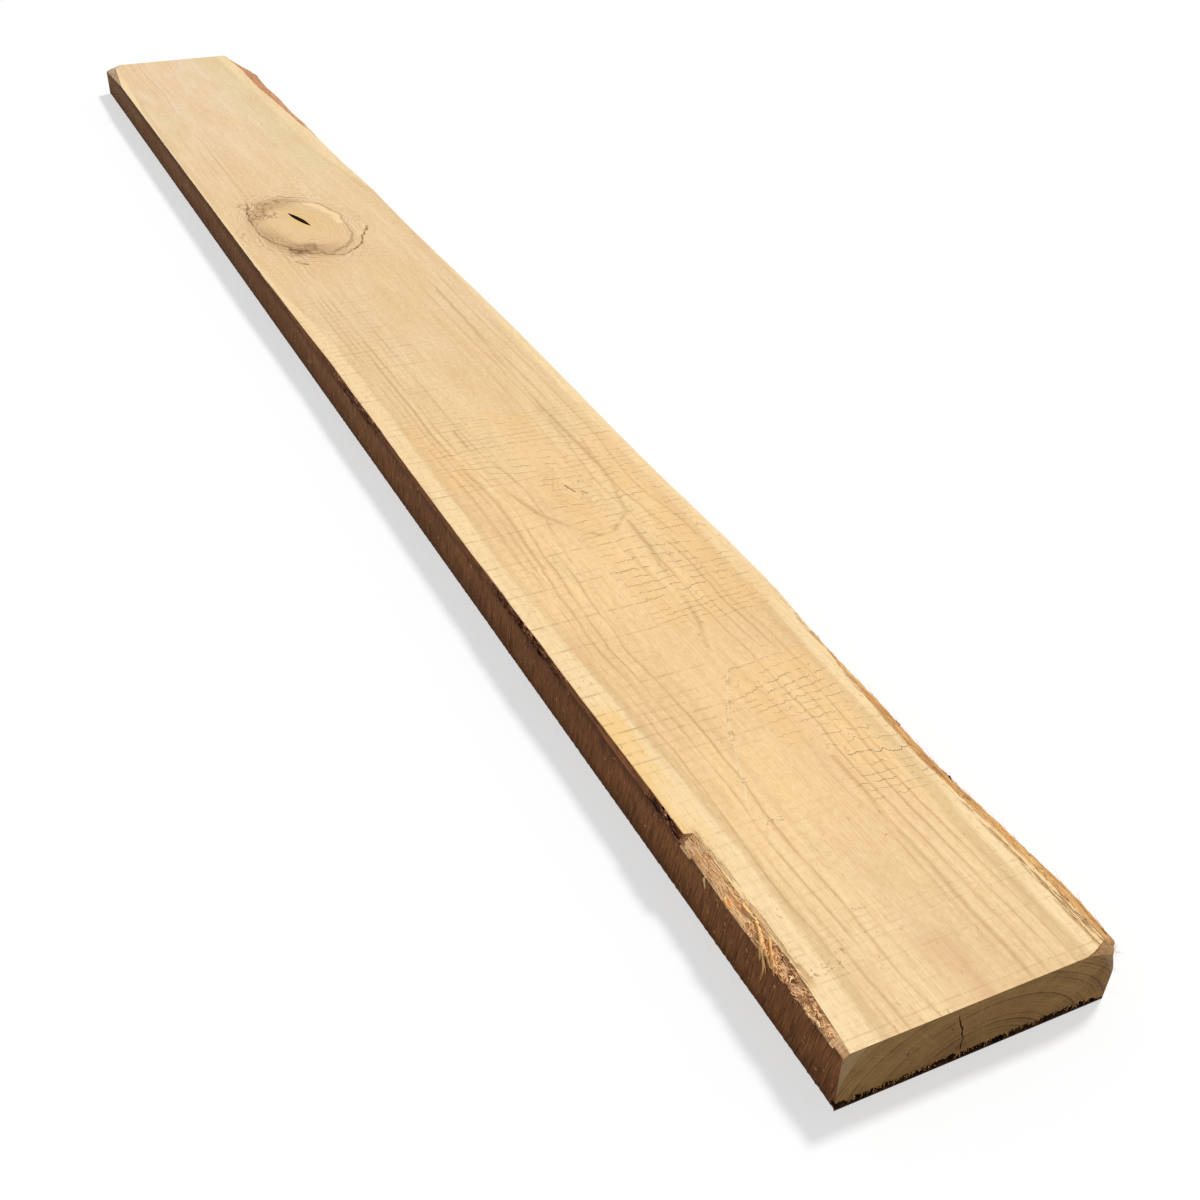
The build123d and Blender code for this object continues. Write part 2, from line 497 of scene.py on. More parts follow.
def bent_through(points, share):
    """A smooth way through four points, as a Bezier curve whose middle passes near them."""
    a, b, c, d = (Vector(on_plank(*point)) for point in points)
    pull_b = (b * 18 - a * 5 - d * -2 - c * 9) / 6
    pull_c = (c * 18 - d * 5 - a * -2 - b * 9) / 6
    rest = 1 - share
    return a * rest ** 3 + pull_b * 3 * rest ** 2 * share + pull_c * 3 * rest * share ** 2 + d * share ** 3


splinters = bmesh.new()
for number, points in enumerate(SPLINTERS):
    for twin in range(3 if number < 5 else 2):
        before = len(splinters.verts)
        splinters.from_mesh(STRANDS[0])
        splinters.verts.ensure_lookup_table()
        spread = Vector((dice.uniform(-1, 1), 0, dice.uniform(-1, 1))) * 0.0016 * (twin > 0)
        reach = dice.uniform(0.75, 1.0) if twin else 1.0
        thick = SPLINTER_THICK * (1.0 if twin == 0 else 0.55)
        for vert in splinters.verts[before:]:
            share = vert.co.x
            round_y = (vert.co.y - 0.10 * share * share) / 0.02
            round_z = (vert.co.z - 0.05 * math.sin(math.pi * share)) / 0.02
            centre = bent_through(points, share * reach) + spread * share
            vert.co = centre + Vector((round_z * 0.5, round_y * 0.5, round_z)) * thick * 0.5
as_piece("long_splinters", splinters, fibre_finish)

# %% [markdown]
# ## Crumbs, bark and fringe
#
# The rest is too much to lay one by one. The crumbs sit on the torn facet near the end. Bark is left in
# three patches along the left arris and in specks along the natural edge. The fringe is the broken
# fibre along the bottom arris of the near end.

# %% Crumbs on the torn facet
CRUMBS = 190

crumbs = bmesh.new()
for number in range(CRUMBS):
    x = dice.uniform(CRUMBLE_FROM - 0.012, CRUMBLE_TO + 0.002)
    place = arris_point(x, dice.uniform(0.02, 0.95), dice.uniform(-0.0010, 0.0006))
    turn = (dice.uniform(-1.2, 0.4), dice.uniform(-0.5, 0.5), dice.uniform(-0.9, 0.9))
    if number % 3:
        long = dice.uniform(0.0030, 0.0085)
        lay(crumbs, dice.choice(STUBS), place, turn, (long, long * 1.4, long * 1.3))
    else:
        long = dice.uniform(0.002, 0.0055)
        lay(crumbs, dice.choice(FLAKES), place, turn, (long, long * 0.8, long * 0.7))
as_piece("facet_crumbs", crumbs, crumb_finish)

# %% Fibres lifted along the smooth part of the facet
LIFTED = 90

lifted = bmesh.new()
for number in range(LIFTED):
    x = dice.uniform(X_NEAR - 0.198, CRUMBLE_FROM + 0.01)
    place = arris_point(x, dice.uniform(0.25, 1.0), -0.0004)
    turn = (0, dice.uniform(-0.12, 0.06), dice.uniform(-0.22, 0.22))
    long = dice.uniform(0.006, 0.020)
    lay(lifted, dice.choice(STRANDS[:3]), place, turn, (long, long * 0.6, long * 0.5))
as_piece("lifted_fibres", lifted, fibre_finish)

# %% Bark left along the left arris
BARK_PATCHES = [(0.174, 0.410, 150, 0.0030), (0.690, 0.858, 120, 0.0034), (0.998, 1.052, 60, 0.0048)]

bark = bmesh.new()
for start, end, count, wide in BARK_PATCHES:
    for number in range(count):
        x = start + (end - start) * (number + dice.uniform(-1, 1)) / count
        fade = math.sin(math.pi * min(max((x - start) / (end - start), 0.06), 0.94)) ** 0.5
        place = arris_point(x, dice.uniform(0.0, 1.1), dice.uniform(-0.0010, 0.0004))
        turn = (dice.uniform(-1.4, -0.2), dice.uniform(-0.25, 0.25), dice.uniform(-0.35, 0.35))
        if number % 4 == 3:
            long = dice.uniform(0.006, 0.016)
            lay(bark, dice.choice(STUBS[:3]), place, turn, (long, long * 0.4, long * 0.4))
        else:
            size = dice.uniform(0.5, 1.1) * wide * fade
            lay(bark, dice.choice(FLAKES), place, turn, (size * 2.4, size * 1.3, size))
as_piece("arris_bark", bark, bark_finish)

# %% Fringe along the bottom of the near end
FRINGE_STUBS = 520

fringe = bmesh.new()
width_of_fringe = break_to - Y_SAWN
for number in range(FRINGE_STUBS):
    y = Y_SAWN + width_of_fringe * (number + dice.uniform(-1, 1)) / FRINGE_STUBS
    place = (X_NEAR - dice.uniform(0.0004, 0.0012), y, dice.uniform(0.0076, 0.0102))
    clump = noise.noise(Vector((y * 150, 1.5, 0)))
    long = dice.uniform(0.0052, 0.0090) * (0.9 + 0.5 * clump)
    if clump < dice.uniform(-0.45, 0.10):
        continue
    turn = (dice.uniform(-0.4, 0.4), dice.uniform(1.35, 1.65), dice.uniform(-0.6, 0.6))
    lay(fringe, dice.choice(STUBS[:4]), place, turn, (long, long, long))
as_piece("end_fringe", fringe, fringe_finish)

# %% Fibres and bark specks along the natural edge
EDGE_STRANDS = 420
END_STRANDS = 70

edge_fibres = bmesh.new()
for number in range(EDGE_STRANDS):
    x = X_NEAR - 0.36 * dice.random() ** 1.3
    z = Z_TOP - 0.012 * dice.random() ** 2 - 0.0004
    place = Vector((x, side_at(x, z, -1) - 0.0010, z))
    turn = (dice.uniform(-0.5, 0.5), dice.uniform(-0.10, 0.10), math.pi + dice.uniform(-0.10, 0.06))
    long = dice.uniform(0.004, 0.013)
    lay(edge_fibres, dice.choice(STRANDS), place, turn, (long, long * 0.6, long * 0.6))
for number in range(END_STRANDS):
    x = X_NEAR - 0.0004 - 0.012 * dice.random()
    z = Z_TOP - 0.003 - 0.045 * dice.random()
    place = Vector((x, side_at(x, z, -1) - 0.0008, z))
    turn = (dice.uniform(-1, 1), dice.uniform(-1.2, 1.2), dice.uniform(-1.5, 1.5))
    long = dice.uniform(0.003, 0.0065)
    lay(edge_fibres, dice.choice(STRANDS[2:]), place, turn, (long, long * 0.8, long * 0.8))
as_piece("edge_fibres", edge_fibres, fibre_finish)

# %% Bark left in rows along the natural edge
EDGE_BARK = [(-1.215, -1.05, 30), (-0.80, -0.62, 14), (0.88, 1.03, 30), (1.06, 1.10, 8),
             (1.228, 1.2400, 12)]

edge_bark = bmesh.new()
for start, end, count in EDGE_BARK:
    for number in range(count):
        x = dice.uniform(start, end)
        z = Z_TOP - 0.030 * dice.random() - 0.004
        place = Vector((x, side_at(x, z, -1) - 0.0014, z))
        turn = (dice.uniform(1.1, 1.8), dice.uniform(-0.4, 0.4), dice.uniform(-0.2, 0.2))
        size = dice.uniform(0.0012, 0.0028)
        lay(edge_bark, dice.choice(FLAKES), place, turn, (size * 2.6, size * 1.2, size * 0.7))
as_piece("edge_bark", edge_bark, bark_finish)

# %% [markdown]
# ## Materials
#
# Wood is a solid material: the rings on the end, the lines along the top and the grain round a knot
# are all cuts through one body of rings. A picture wrapped round the plank would break at each arris.
# So the finishes are worked out by nodes from the place in the plank, which they read from the
# object's own coordinates, and each face's finish starts from the same rings.
#
# A node tree of some hundred nodes is hard to read link by link. The class below gives each kind of
# node a short method, so that a finish reads like a recipe.

# %% Colours and plain nodes


def srgb(red, greenish_shade, blue):
    """A colour read off a screen, 0 to 255, as the linear colour that a shader takes."""
    def linear(part):
        part /= 255
        return part / 12.92 if part <= 0.04045 else ((part + 0.055) / 1.055) ** 2.4
    return (linear(red), linear(greenish_shade), linear(blue), 1)


class Nodes:
    """A material's node tree, with a method for each kind of sum."""

    def __init__(self, material):
        self.material = material
        self.material.use_nodes = True
        self.tree = self.material.node_tree
        self.shader = self.tree.nodes["Principled BSDF"]
        self.place = self.node("ShaderNodeTexCoord").outputs["Object"]
        split = self.node("ShaderNodeSeparateXYZ")
        self.feed(split.inputs[0], self.place)
        self.x, y, self.z = split.outputs
        self.across = self.less(y, Y_SAWN)

    def node(self, kind, **settings):
        made = self.tree.nodes.new(kind)
        for name, value in settings.items():
            setattr(made, name, value)
        return made

    def feed(self, socket, value):
        """Puts a number or colour on a socket, or links another node's output to it."""
        if isinstance(value, bpy.types.NodeSocket):
            self.tree.links.new(value, socket)
        else:
            socket.default_value = value

    def feed_all(self, made, *values):
        """Feeds a node's first sockets in order."""
        for socket, value in zip(made.inputs, values):
            self.feed(socket, value)
        return made.outputs[0]

    def calc(self, operation, first, second=0.0, clamp=False):
        return self.feed_all(self.node("ShaderNodeMath", operation=operation, use_clamp=clamp), first, second)

    add = partialmethod(calc, "ADD")
    less = partialmethod(calc, "SUBTRACT")
    ratio = partialmethod(calc, "DIVIDE")
    power = partialmethod(calc, "POWER")
    root = partialmethod(calc, "SQRT")
    most = partialmethod(calc, "MAXIMUM")
    least = partialmethod(calc, "MINIMUM")
    whole = partialmethod(calc, "FLOOR")
    part_of = partialmethod(calc, "FRACT")

    def times(self, first, *others):
        return reduce(partial(self.calc, "MULTIPLY"), others, first)

    def hypotenuse(self, first, second):
        return self.root(self.add(self.times(first, first), self.times(second, second)))

    def vector(self, x, y, z):
        return self.feed_all(self.node("ShaderNodeCombineXYZ"), x, y, z)

    def on_vectors(self, operation, first, second, out=0):
        made = self.node("ShaderNodeVectorMath", operation=operation)
        self.feed(made.inputs[0], first)
        self.feed(made.inputs["Scale" if operation == "SCALE" else 1], second)
        return made.outputs[out]

    def ranged(self, value, low_in, high_in, low_out=0.0, high_out=1.0, smooth=True):
        """Turns a value's range into another one, with a soft start and stop or in a straight run."""
        made = self.node("ShaderNodeMapRange", interpolation_type="SMOOTHSTEP" if smooth else "LINEAR")
        return self.feed_all(made, value, low_in, high_in, low_out, high_out)

    def falls(self, value, start, end):
        """1 before start and 0 after end."""
        return self.ranged(value, start, end, 1, 0)

    def window(self, value, start, end, soft):
        """1 between start and end, with soft shoulders outside them."""
        return self.times(self.ranged(value, start - soft, start), self.falls(value, end, end + soft))


# %% Patterns, strokes and coats of colour
TOP_FADE = (Z_TOP - 0.004, Z_TOP - 0.001)
RAMP_REACH = 0.26
LOW_SHINE = 0.2


class Finish(Nodes):
    """A node tree that knows its way about the plank and lays colours over each other."""

    @cached_property
    def top(self):
        """1 on the top face and 0 below its arrises."""
        return self.ranged(self.z, *TOP_FADE)

    def noise(self, place, detail=2.0, roughness=0.5, out="Fac"):
        made = self.node("ShaderNodeTexNoise")
        self.feed(made.inputs["Vector"], place)
        for name, value in (("Scale", 1.0), ("Detail", detail), ("Roughness", roughness)):
            made.inputs[name].default_value = value
        return made.outputs[out]

    def grain(self, scales, detail=2.0, roughness=0.5, shift=0.0, out="Fac"):
        """Noise whose scale differs along each axis; the shift keeps one pattern apart from another."""
        stretched = self.node("ShaderNodeMapping")
        self.feed(stretched.inputs["Vector"], self.place)
        stretched.inputs["Location"].default_value = (shift, shift, shift)
        stretched.inputs["Scale"].default_value = scales
        return self.noise(stretched.outputs[0], detail, roughness, out)

    def sway(self, pattern, reach):
        """Noise swings round a half; this makes it a shift to either side of nothing."""
        return self.times(self.less(pattern, 0.5), reach)

    def chance(self, number):
        """A fixed random share for each whole number."""
        made = self.node("ShaderNodeTexWhiteNoise", noise_dimensions="1D")
        self.feed(made.inputs["W"], number)
        return made.outputs["Value"]

    def along(self, *stops):
        """A value that goes in straight runs through (x, value) stops along the plank."""
        runs = []
        for (start, low_out), (end, high_out) in zip(stops, stops[1:]):
            base = low_out if runs else 0
            runs.append(self.ranged(self.x, start, end, low_out - base, high_out - base, smooth=False))
        return reduce(self.add, runs)

    def patch(self, x_start, x_end, v_start, v_end, soft_x=0.02, soft_v=0.008):
        """A soft rectangle on the top face, by its place along the plank and from the sawn side."""
        lengthwise = self.window(self.x, x_start, x_end, soft_x)
        return self.times(lengthwise, self.window(self.across, v_start, v_end, soft_v))

    def patches(self, rows, soft_x, soft_v):
        return reduce(self.most, [self.patch(*row, soft_x, soft_v) for row in rows])

    def stroke(self, place, points):
        """Distance from a place on the top face to a drawn line through (x, from sawn side) points."""
        distances = []
        for start, end in zip(points, points[1:]):
            start, end = Vector((*start, 0)), Vector((*end, 0))
            run = end - start
            reach = self.on_vectors("SUBTRACT", place, start)
            share = self.on_vectors("DOT_PRODUCT", reach, run / run.length_squared, out="Value")
            foot = self.on_vectors("SCALE", run, self.calc("ADD", share, 0.0, clamp=True))
            distances.append(self.on_vectors("DISTANCE", reach, foot, out="Value"))
        return reduce(self.least, distances)

    def lines_at(self, value, lines):
        """Soft lines where a value passes each line's (place, half width, depth)."""
        stops = {}
        for place, half, depth in lines:
            stops.update({place - half: 0.0, place: depth, place + half: 0.0})
        ramp = self.node("ShaderNodeValToRGB")
        self.feed(ramp.inputs[0], self.times(value, 1 / RAMP_REACH))
        elements = ramp.color_ramp.elements
        elements[0].color = elements[1].color = (0, 0, 0, 1)
        for place, depth in sorted(stops.items()):
            elements.new(place / RAMP_REACH).color = (depth, depth, depth, 1)
        return ramp.outputs[0]

    def mix(self, share, first, second):
        made = self.node("ShaderNodeMix", data_type="RGBA")
        for number, value in ((0, share), (6, first), (7, second)):
            self.feed(made.inputs[number], value)
        return made.outputs[2]

    def start(self, share, first, second):
        """The ground colour, which the coats go over."""
        self.colour = self.mix(share, first, second)

    def paint(self, tone, *shares):
        """Lays a coat over the colour so far, as strong as all the shares multiplied."""
        self.colour = self.mix(self.times(*shares), self.colour, tone)

    def tint(self, tone, pattern, start, end, share):
        """Lays a coat where a pattern goes from start to end, up to a share."""
        self.paint(tone, self.ranged(pattern, start, end, 0, share))

    def bump(self, height, depth, below=None, strength=1.0):
        """A bump of so many metres, laid over another one."""
        made = self.node("ShaderNodeBump")
        made.inputs["Strength"].default_value = strength
        made.inputs["Distance"].default_value = depth
        self.feed(made.inputs["Height"], height)
        if below is not None:
            self.feed(made.inputs["Normal"], below)
        return made.outputs[0]

    def finish(self, normal, roughness):
        for name, value in (("Base Color", self.colour), ("Normal", normal), ("Roughness", roughness)):
            self.feed(self.shader.inputs[name], value)
        self.shader.inputs["Specular IOR Level"].default_value = LOW_SHINE
        print(self.material.name, len(self.tree.nodes), "nodes")


# %% [markdown]
# ## The rings of the log
#
# A log's rings are cylinders round its pith, a little flattened here. The distance from the pith,
# divided by the width of a year, gives the ring number; what is left over tells how far through the
# year a point is, and the dark late wood is near its end. Noise makes the years uneven. Round a knot
# the rings bow out, so the place is bent towards the knot before the distance is taken.

# %% Where the pith and the knots are
PITH_FAR, PITH_NEAR = 0.115, 0.105
PITH_Z = -0.015
HEART_FAR, HEART_NEAR = 0.113, 0.108
RING_FLAT = 1.45
RING_WIDTH = 0.0023
BIG_KNOT = (-0.250, 0.099)
PIN_KNOT = (0.582, 0.133)


def bowed(wood, across, knot, reach_x, reach_v, pull):
    """The distance from the sawn side, pulled towards a knot so that lines bow out round it."""
    dx = wood.ratio(wood.less(wood.x, knot[0]), reach_x)
    dv = wood.less(across, knot[1])
    sideways = wood.power(wood.ratio(wood.calc("ABSOLUTE", dv), reach_v), 2)
    near = wood.calc("EXPONENT", wood.times(wood.add(wood.times(dx, dx), sideways), -1.0))
    return wood.less(across, wood.times(dv, near, pull))


def end_to_end(wood, far, near):
    """A value that changes evenly from the far end to the near end."""
    return wood.ranged(wood.x, X_FAR, X_NEAR, far, near, smooth=False)


# %% The rings worked out
def log_rings(wood):
    """Ring lines, the strength of each ring, how far out of the heart a point is, and its part of a year."""
    across = bowed(wood, wood.across, BIG_KNOT, 0.17, 0.095, 0.55)
    across = bowed(wood, across, PIN_KNOT, 0.075, 0.045, 0.55)
    dv = wood.less(across, end_to_end(wood, PITH_FAR, PITH_NEAR))
    dz = wood.less(wood.z, PITH_Z)
    flat_v = wood.times(dv, 1 / RING_FLAT)
    out = wood.hypotenuse(flat_v, dz)
    drift = wood.ranged(wood.grain((2.2, 6, 6), 1), 0, 1, -0.0075, 0.0075, smooth=False)
    wavy = wood.sway(wood.grain((11, 16, 16), 1, shift=3.1), wood.along((0.98, 0.0006), (1.12, 0.0026)))
    out = wood.add(out, wood.add(drift, wavy))
    rings = wood.times(out, 1 / RING_WIDTH)
    uneven = wood.noise(wood.vector(wood.times(rings, 0.6), 0.0, 0.0), 1)
    rings = wood.add(rings, wood.times(uneven, 2.6))
    part = wood.part_of(rings)
    strength = wood.power(wood.chance(wood.whole(rings)), 1.6)
    tail = wood.times(wood.power(part, 4.0), wood.ranged(part, 0.94, 1.0, 0.35, 0.0))
    crisp = wood.window(part, 0.88, 0.93, 0.045)
    line = wood.times(wood.most(crisp, tail), wood.ranged(strength, 0, 1, 0.10, 1.0, smooth=False))
    from_heart = wood.ratio(wood.hypotenuse(dv, dz), end_to_end(wood, HEART_FAR, HEART_NEAR))
    sap = wood.ranged(from_heart, 0.99, 1.02)
    return line, strength, sap, part


print("ring width", RING_WIDTH)

# %% [markdown]
# ## The sawn face
#
# The top is what the saw left: pale heartwood with a lighter sapwood band along each side, dark late
# rings, and comb marks straight across where the blade paused. The comb marks come from the place
# along the plank, cut into equal steps, with a random depth for each step. Torn grain is made the
# same way, but its steps are shaken by noise until they waver across the grain.

# %% Marks of the saw
SAW_PITCH = 0.0125
FINE_PITCH = 0.0061


def steps_of(wood, value, pitch):
    """How far through its step a value is, and a random share for that step."""
    steps = wood.times(value, 1 / pitch)
    return wood.part_of(steps), wood.chance(wood.whole(steps))


def saw_marks(wood, near):
    """Thin lines across the plank: even ones on its sawn-side half and fine ones near the end."""
    x = wood.add(wood.x, wood.sway(wood.grain((3, 30, 30), 2), 0.0016))
    part, chance = steps_of(wood, x, SAW_PITCH)
    thin = wood.window(part, 0.45, 0.53, 0.07)
    reach = wood.add(wood.times(chance, 0.055), 0.070)
    on_left = wood.falls(wood.less(wood.across, reach), -0.030, 0.020)
    where = wood.times(on_left, wood.window(wood.x, 0.08, 0.92, 0.12))
    where = wood.most(where, wood.times(on_left, wood.window(wood.x, 0.90, 1.20, 0.06), 0.45))
    broken = wood.ranged(wood.grain((60, 130, 130), 2, shift=2), 0.38, 0.60, 0.25, 1.0)
    coarse = wood.times(thin, where, broken, wood.ranged(chance, 0.2, 1.0, 0.25, 1.0, smooth=False))
    if not near:
        return coarse
    part, chance = steps_of(wood, x, FINE_PITCH)
    fine = wood.times(wood.window(part, 0.44, 0.54, 0.10), wood.ranged(wood.x, 1.10, 1.19))
    return wood.most(coarse, wood.times(fine, wood.power(chance, 2.0), broken, 0.5))


# %% Torn grain
TEAR_PITCH = 0.0105
TORN_FAR = ((-1.050, -0.820, 0.100, 0.190), (-0.130, -0.050, 0.020, 0.200))
TORN_MIDDLE = ((0.420, 0.690, 0.112, 0.212), (0.400, 0.530, 0.035, 0.120))
TORN_NEAR = ((0.700, 0.815, 0.112, 0.205), (0.905, 0.985, 0.125, 0.188), (0.998, 1.062, 0.150, 0.200))


def torn_grain(wood, patches):
    """Wavy strokes across the grain, where the saw lifted the fibres: a lit lip and a shaded side."""
    wiggle = wood.grain((30, 180, 30), 2, 0.6, shift=9)
    spread = wood.grain((9, 4, 4), 1, shift=6)
    moved = wood.add(wood.sway(wiggle, 0.011), wood.times(spread, 0.10))
    columns = wood.times(wood.add(wood.x, moved), 1 / TEAR_PITCH)
    part, number = wood.part_of(columns), wood.whole(columns)
    run = wood.noise(wood.vector(wood.times(number, 3.7), wood.times(wood.across, 80), 0.0), 2, 0.6)
    strength = wood.ranged(wood.chance(number), 0.10, 0.90, 0.45, 1.0, smooth=False)
    zone = wood.patches(patches, 0.025, 0.016)
    mask = wood.times(zone, strength, wood.ranged(run, 0.42, 0.52))
    lip = wood.times(wood.window(part, 0.41, 0.45, 0.07), mask)
    shade = wood.times(wood.window(part, 0.51, 0.53, 0.035), mask)
    return lip, shade, zone


# %% [markdown]
# ## The big knot
#
# Everyone who has seen the plank would point at this knot. It could be painted in one picture, but
# then its lines would not join the grain. Here it is the distance from its middle, made uneven with
# noise: close to the middle it is golden, further out the lines crowd. What is single, such as the
# dark rim, is drawn as strokes. A stroke is the distance to a line through a few points.

# %% Lines of the knot
KNOT_SIZE = (0.112, 0.060)
KNOT_RIM = [(-0.350, 0.049), (-0.326, 0.039), (-0.290, 0.038), (-0.234, 0.036), (-0.194, 0.045),
            (-0.188, 0.053), (-0.166, 0.059), (-0.150, 0.055), (-0.140, 0.075), (-0.134, 0.091)]
KNOT_DOUBLE = [(-0.212, 0.179), (-0.170, 0.161), (-0.150, 0.151), (-0.130, 0.139), (-0.116, 0.117),
               (-0.126, 0.099), (-0.138, 0.095)]
KNOT_INNER = [(-0.188, 0.151), (-0.166, 0.145), (-0.146, 0.131), (-0.132, 0.107)]
KNOT_CRESCENT = [(-0.334, 0.133), (-0.310, 0.143), (-0.274, 0.153), (-0.242, 0.151)]
KNOT_TOP = [(-0.366, 0.087), (-0.350, 0.127), (-0.326, 0.147), (-0.270, 0.160), (-0.188, 0.153)]
KNOT_TICK = [(-0.116, 0.053), (-0.100, 0.065)]


def ragged_place(wood, scale, depth):
    """The place on the top face, shaken by noise, for strokes that aren't ruled lines."""
    shake = wood.grain((scale, scale, scale), 3, 0.6, shift=4.4, out="Color")
    shake = wood.on_vectors("SCALE", wood.on_vectors("SUBTRACT", shake, (0.5, 0.5, 0.5)), depth)
    moved = wood.on_vectors("ADD", wood.vector(wood.x, wood.across, 0.0), shake)
    return wood.on_vectors("MULTIPLY", moved, (1, 1, 0))


def from_knot(wood, knot, size):
    """How far a point is from a knot along and across the plank, with the knot's edge at 1."""
    along = wood.ratio(wood.less(wood.x, knot[0]), size[0])
    return along, wood.ratio(wood.less(wood.across, knot[1]), size[1])


# %% The knot's heart and the lines round it
def knot_heart(wood):
    dx, dv = from_knot(wood, BIG_KNOT, KNOT_SIZE)
    uneven = wood.grain((13, 22, 22), 2, 0.55, shift=7.7)
    out = wood.add(wood.hypotenuse(dx, dv), wood.sway(uneven, 0.50))
    wood.paint(srgb(226, 190, 142), wood.falls(out, 0.70, 1.05), wood.top, 0.60)
    golden = wood.times(wood.falls(out, 0.30, 0.90), wood.ranged(uneven, 0.38, 0.56))
    wood.paint(srgb(226, 190, 124), golden, wood.top, 0.55)
    lower_right = wood.ranged(wood.add(dx, wood.times(dv, -0.7)), 0.10, 0.95)
    lower_left = wood.ranged(wood.add(wood.times(dx, -1.0), wood.times(dv, -0.6)), 0.45, 1.0)
    crowd = wood.most(wood.times(lower_right, wood.top), wood.times(lower_left, wood.top, 0.9))
    wood.paint(srgb(184, 146, 102), wood.window(out, 0.84, 1.02, 0.22), crowd, 0.62)
    turns = wood.add(wood.times(out, 11.0), wood.times(uneven, 5.0))
    contour = wood.window(wood.part_of(turns), 0.45, 0.52, 0.16)
    weight = wood.ranged(wood.chance(wood.whole(turns)), 0.0, 1.0, 0.30, 1.0)
    weight = wood.times(weight, wood.falls(out, 1.05, 1.75), wood.ranged(out, 0.20, 0.75, 0.22, 1.0))
    weight = wood.times(weight, wood.ranged(uneven, 0.36, 0.60, 0.3, 1.0), wood.top)
    wood.paint(srgb(144, 104, 64), contour, weight, wood.add(wood.times(crowd, 0.55), 0.36))


# %% The knot's rim and the bark caught in it
def knot_rim(wood):
    place = ragged_place(wood, 42, 0.013)
    rough = wood.grain((60, 110, 110), 4, 0.62, shift=3.3)
    curls = wood.patch(-0.362, -0.300, 0.042, 0.074, 0.014, 0.012)
    wood.paint(srgb(132, 88, 56), wood.window(rough, 0.46, 0.49, 0.025), curls, wood.top, 0.75)
    smudge = wood.patch(-0.166, -0.146, 0.060, 0.092, 0.020, 0.016)
    wood.paint(srgb(138, 102, 66), smudge, wood.ranged(rough, 0.36, 0.60), wood.top, 0.70)
    darkest = wood.patch(-0.158, -0.148, 0.060, 0.076, 0.008, 0.010)
    wood.paint(srgb(100, 66, 42), darkest, wood.ranged(rough, 0.38, 0.55), wood.top, 0.60)
    crescent = wood.falls(wood.stroke(place, KNOT_CRESCENT), 0.0028, 0.0085)
    wood.paint(srgb(244, 214, 162), crescent, wood.top, 0.80)
    rim, double, tick = (wood.stroke(place, points) for points in (KNOT_RIM, KNOT_DOUBLE, KNOT_TICK))
    dark_line = wood.falls(wood.least(wood.least(rim, double), tick), 0.0004, 0.0022)
    wood.paint(srgb(112, 74, 42), dark_line, wood.ranged(rough, 0.32, 0.52, 0.30, 1.0), wood.top, 0.80)
    inner, upper = (wood.stroke(place, points) for points in (KNOT_INNER, KNOT_TOP))
    soft_line = wood.falls(wood.least(inner, wood.add(upper, 0.0006)), 0.0006, 0.0034)
    wood.paint(srgb(148, 108, 66), soft_line, wood.top, 0.55)


# %% [markdown]
# ## Single lines, the pin knot and specks
#
# A few growth lines run the length of the plank and close in a V before the pin knot. They are soft
# lines at their own distances from the sawn side. The scar, the ticks and the rows of specks are
# where the saw or a nail went over the wood.

# %% Lines along the plank
PALE_SCAR = [(0.888, 0.128), (0.925, 0.108), (0.958, 0.091), (0.992, 0.078), (1.032, 0.063)]
LONG_LINE = [(0.655, 0.156), (0.700, 0.154), (0.750, 0.147), (0.790, 0.143), (0.830, 0.137),
             (0.862, 0.126)]
CLOSING_LINE = [(0.420, 0.072), (0.500, 0.071), (0.560, 0.074), (0.610, 0.084), (0.650, 0.104),
                (0.668, 0.122)]
OVER_PIN = [(0.050, 0.189), (0.180, 0.186), (0.300, 0.181), (0.420, 0.177), (0.520, 0.178),
            (0.580, 0.175), (0.640, 0.160), (0.664, 0.138)]
END_CRACK_LINE = [(1.250, 0.1395), (1.210, 0.1400), (1.150, 0.1420), (1.090, 0.1410), (1.020, 0.1440)]
SINGLE_LINES = {
    "sawn_face": (LONG_LINE, CLOSING_LINE, OVER_PIN),
    "sawn_face_near": (LONG_LINE, END_CRACK_LINE),
}
GROWTH_LINES = {
    "sawn_face": (
        (0.205, 0.0018, 0.6), (0.189, 0.0016, 0.8), (0.173, 0.0024, 0.5), (0.157, 0.0030, 0.3),
        (0.077, 0.0022, 0.7), (0.057, 0.0018, 0.9), (0.049, 0.0026, 0.9), (0.043, 0.0022, 0.6),
        (0.035, 0.0022, 0.6)),
    "sawn_face_near": (
        (0.181, 0.0024, 0.5), (0.174, 0.0018, 0.9), (0.163, 0.0016, 1.0), (0.151, 0.0018, 0.9),
        (0.133, 0.0028, 0.4), (0.080, 0.0030, 0.25), (0.069, 0.0016, 0.95), (0.057, 0.0015, 1.0),
        (0.047, 0.0019, 0.8), (0.038, 0.0015, 0.9)),
}


def growth_lines(wood, name):
    """The few growth lines that can be made out, worn away here and there."""
    depth = wood.along((0.05, 0.007), (0.55, 0.010), (0.80, 0.026), (1.10, 0.020))
    wavy = wood.add(wood.across, wood.sway(wood.grain((6.5, 11, 11), 3, 0.5, shift=12), depth))
    v = bowed(wood, wavy, PIN_KNOT, 0.09, 0.060, -0.55)
    worn = wood.ranged(wood.grain((7, 60, 60), 3, 0.6, shift=3), 0.36, 0.56, 0.22, 1.0)
    lines = wood.times(wood.lines_at(v, GROWTH_LINES[name]), worn)
    place = ragged_place(wood, 14, 0.010)
    for points in SINGLE_LINES[name]:
        drawn = wood.ranged(wood.stroke(place, points), 0.0, 0.0042, 0.75, 0.0)
        lines = wood.most(lines, wood.times(drawn, worn))
    wood.paint(srgb(176, 134, 84), lines, wood.top, wood.ranged(wood.x, -0.03, 0.06), 0.60)


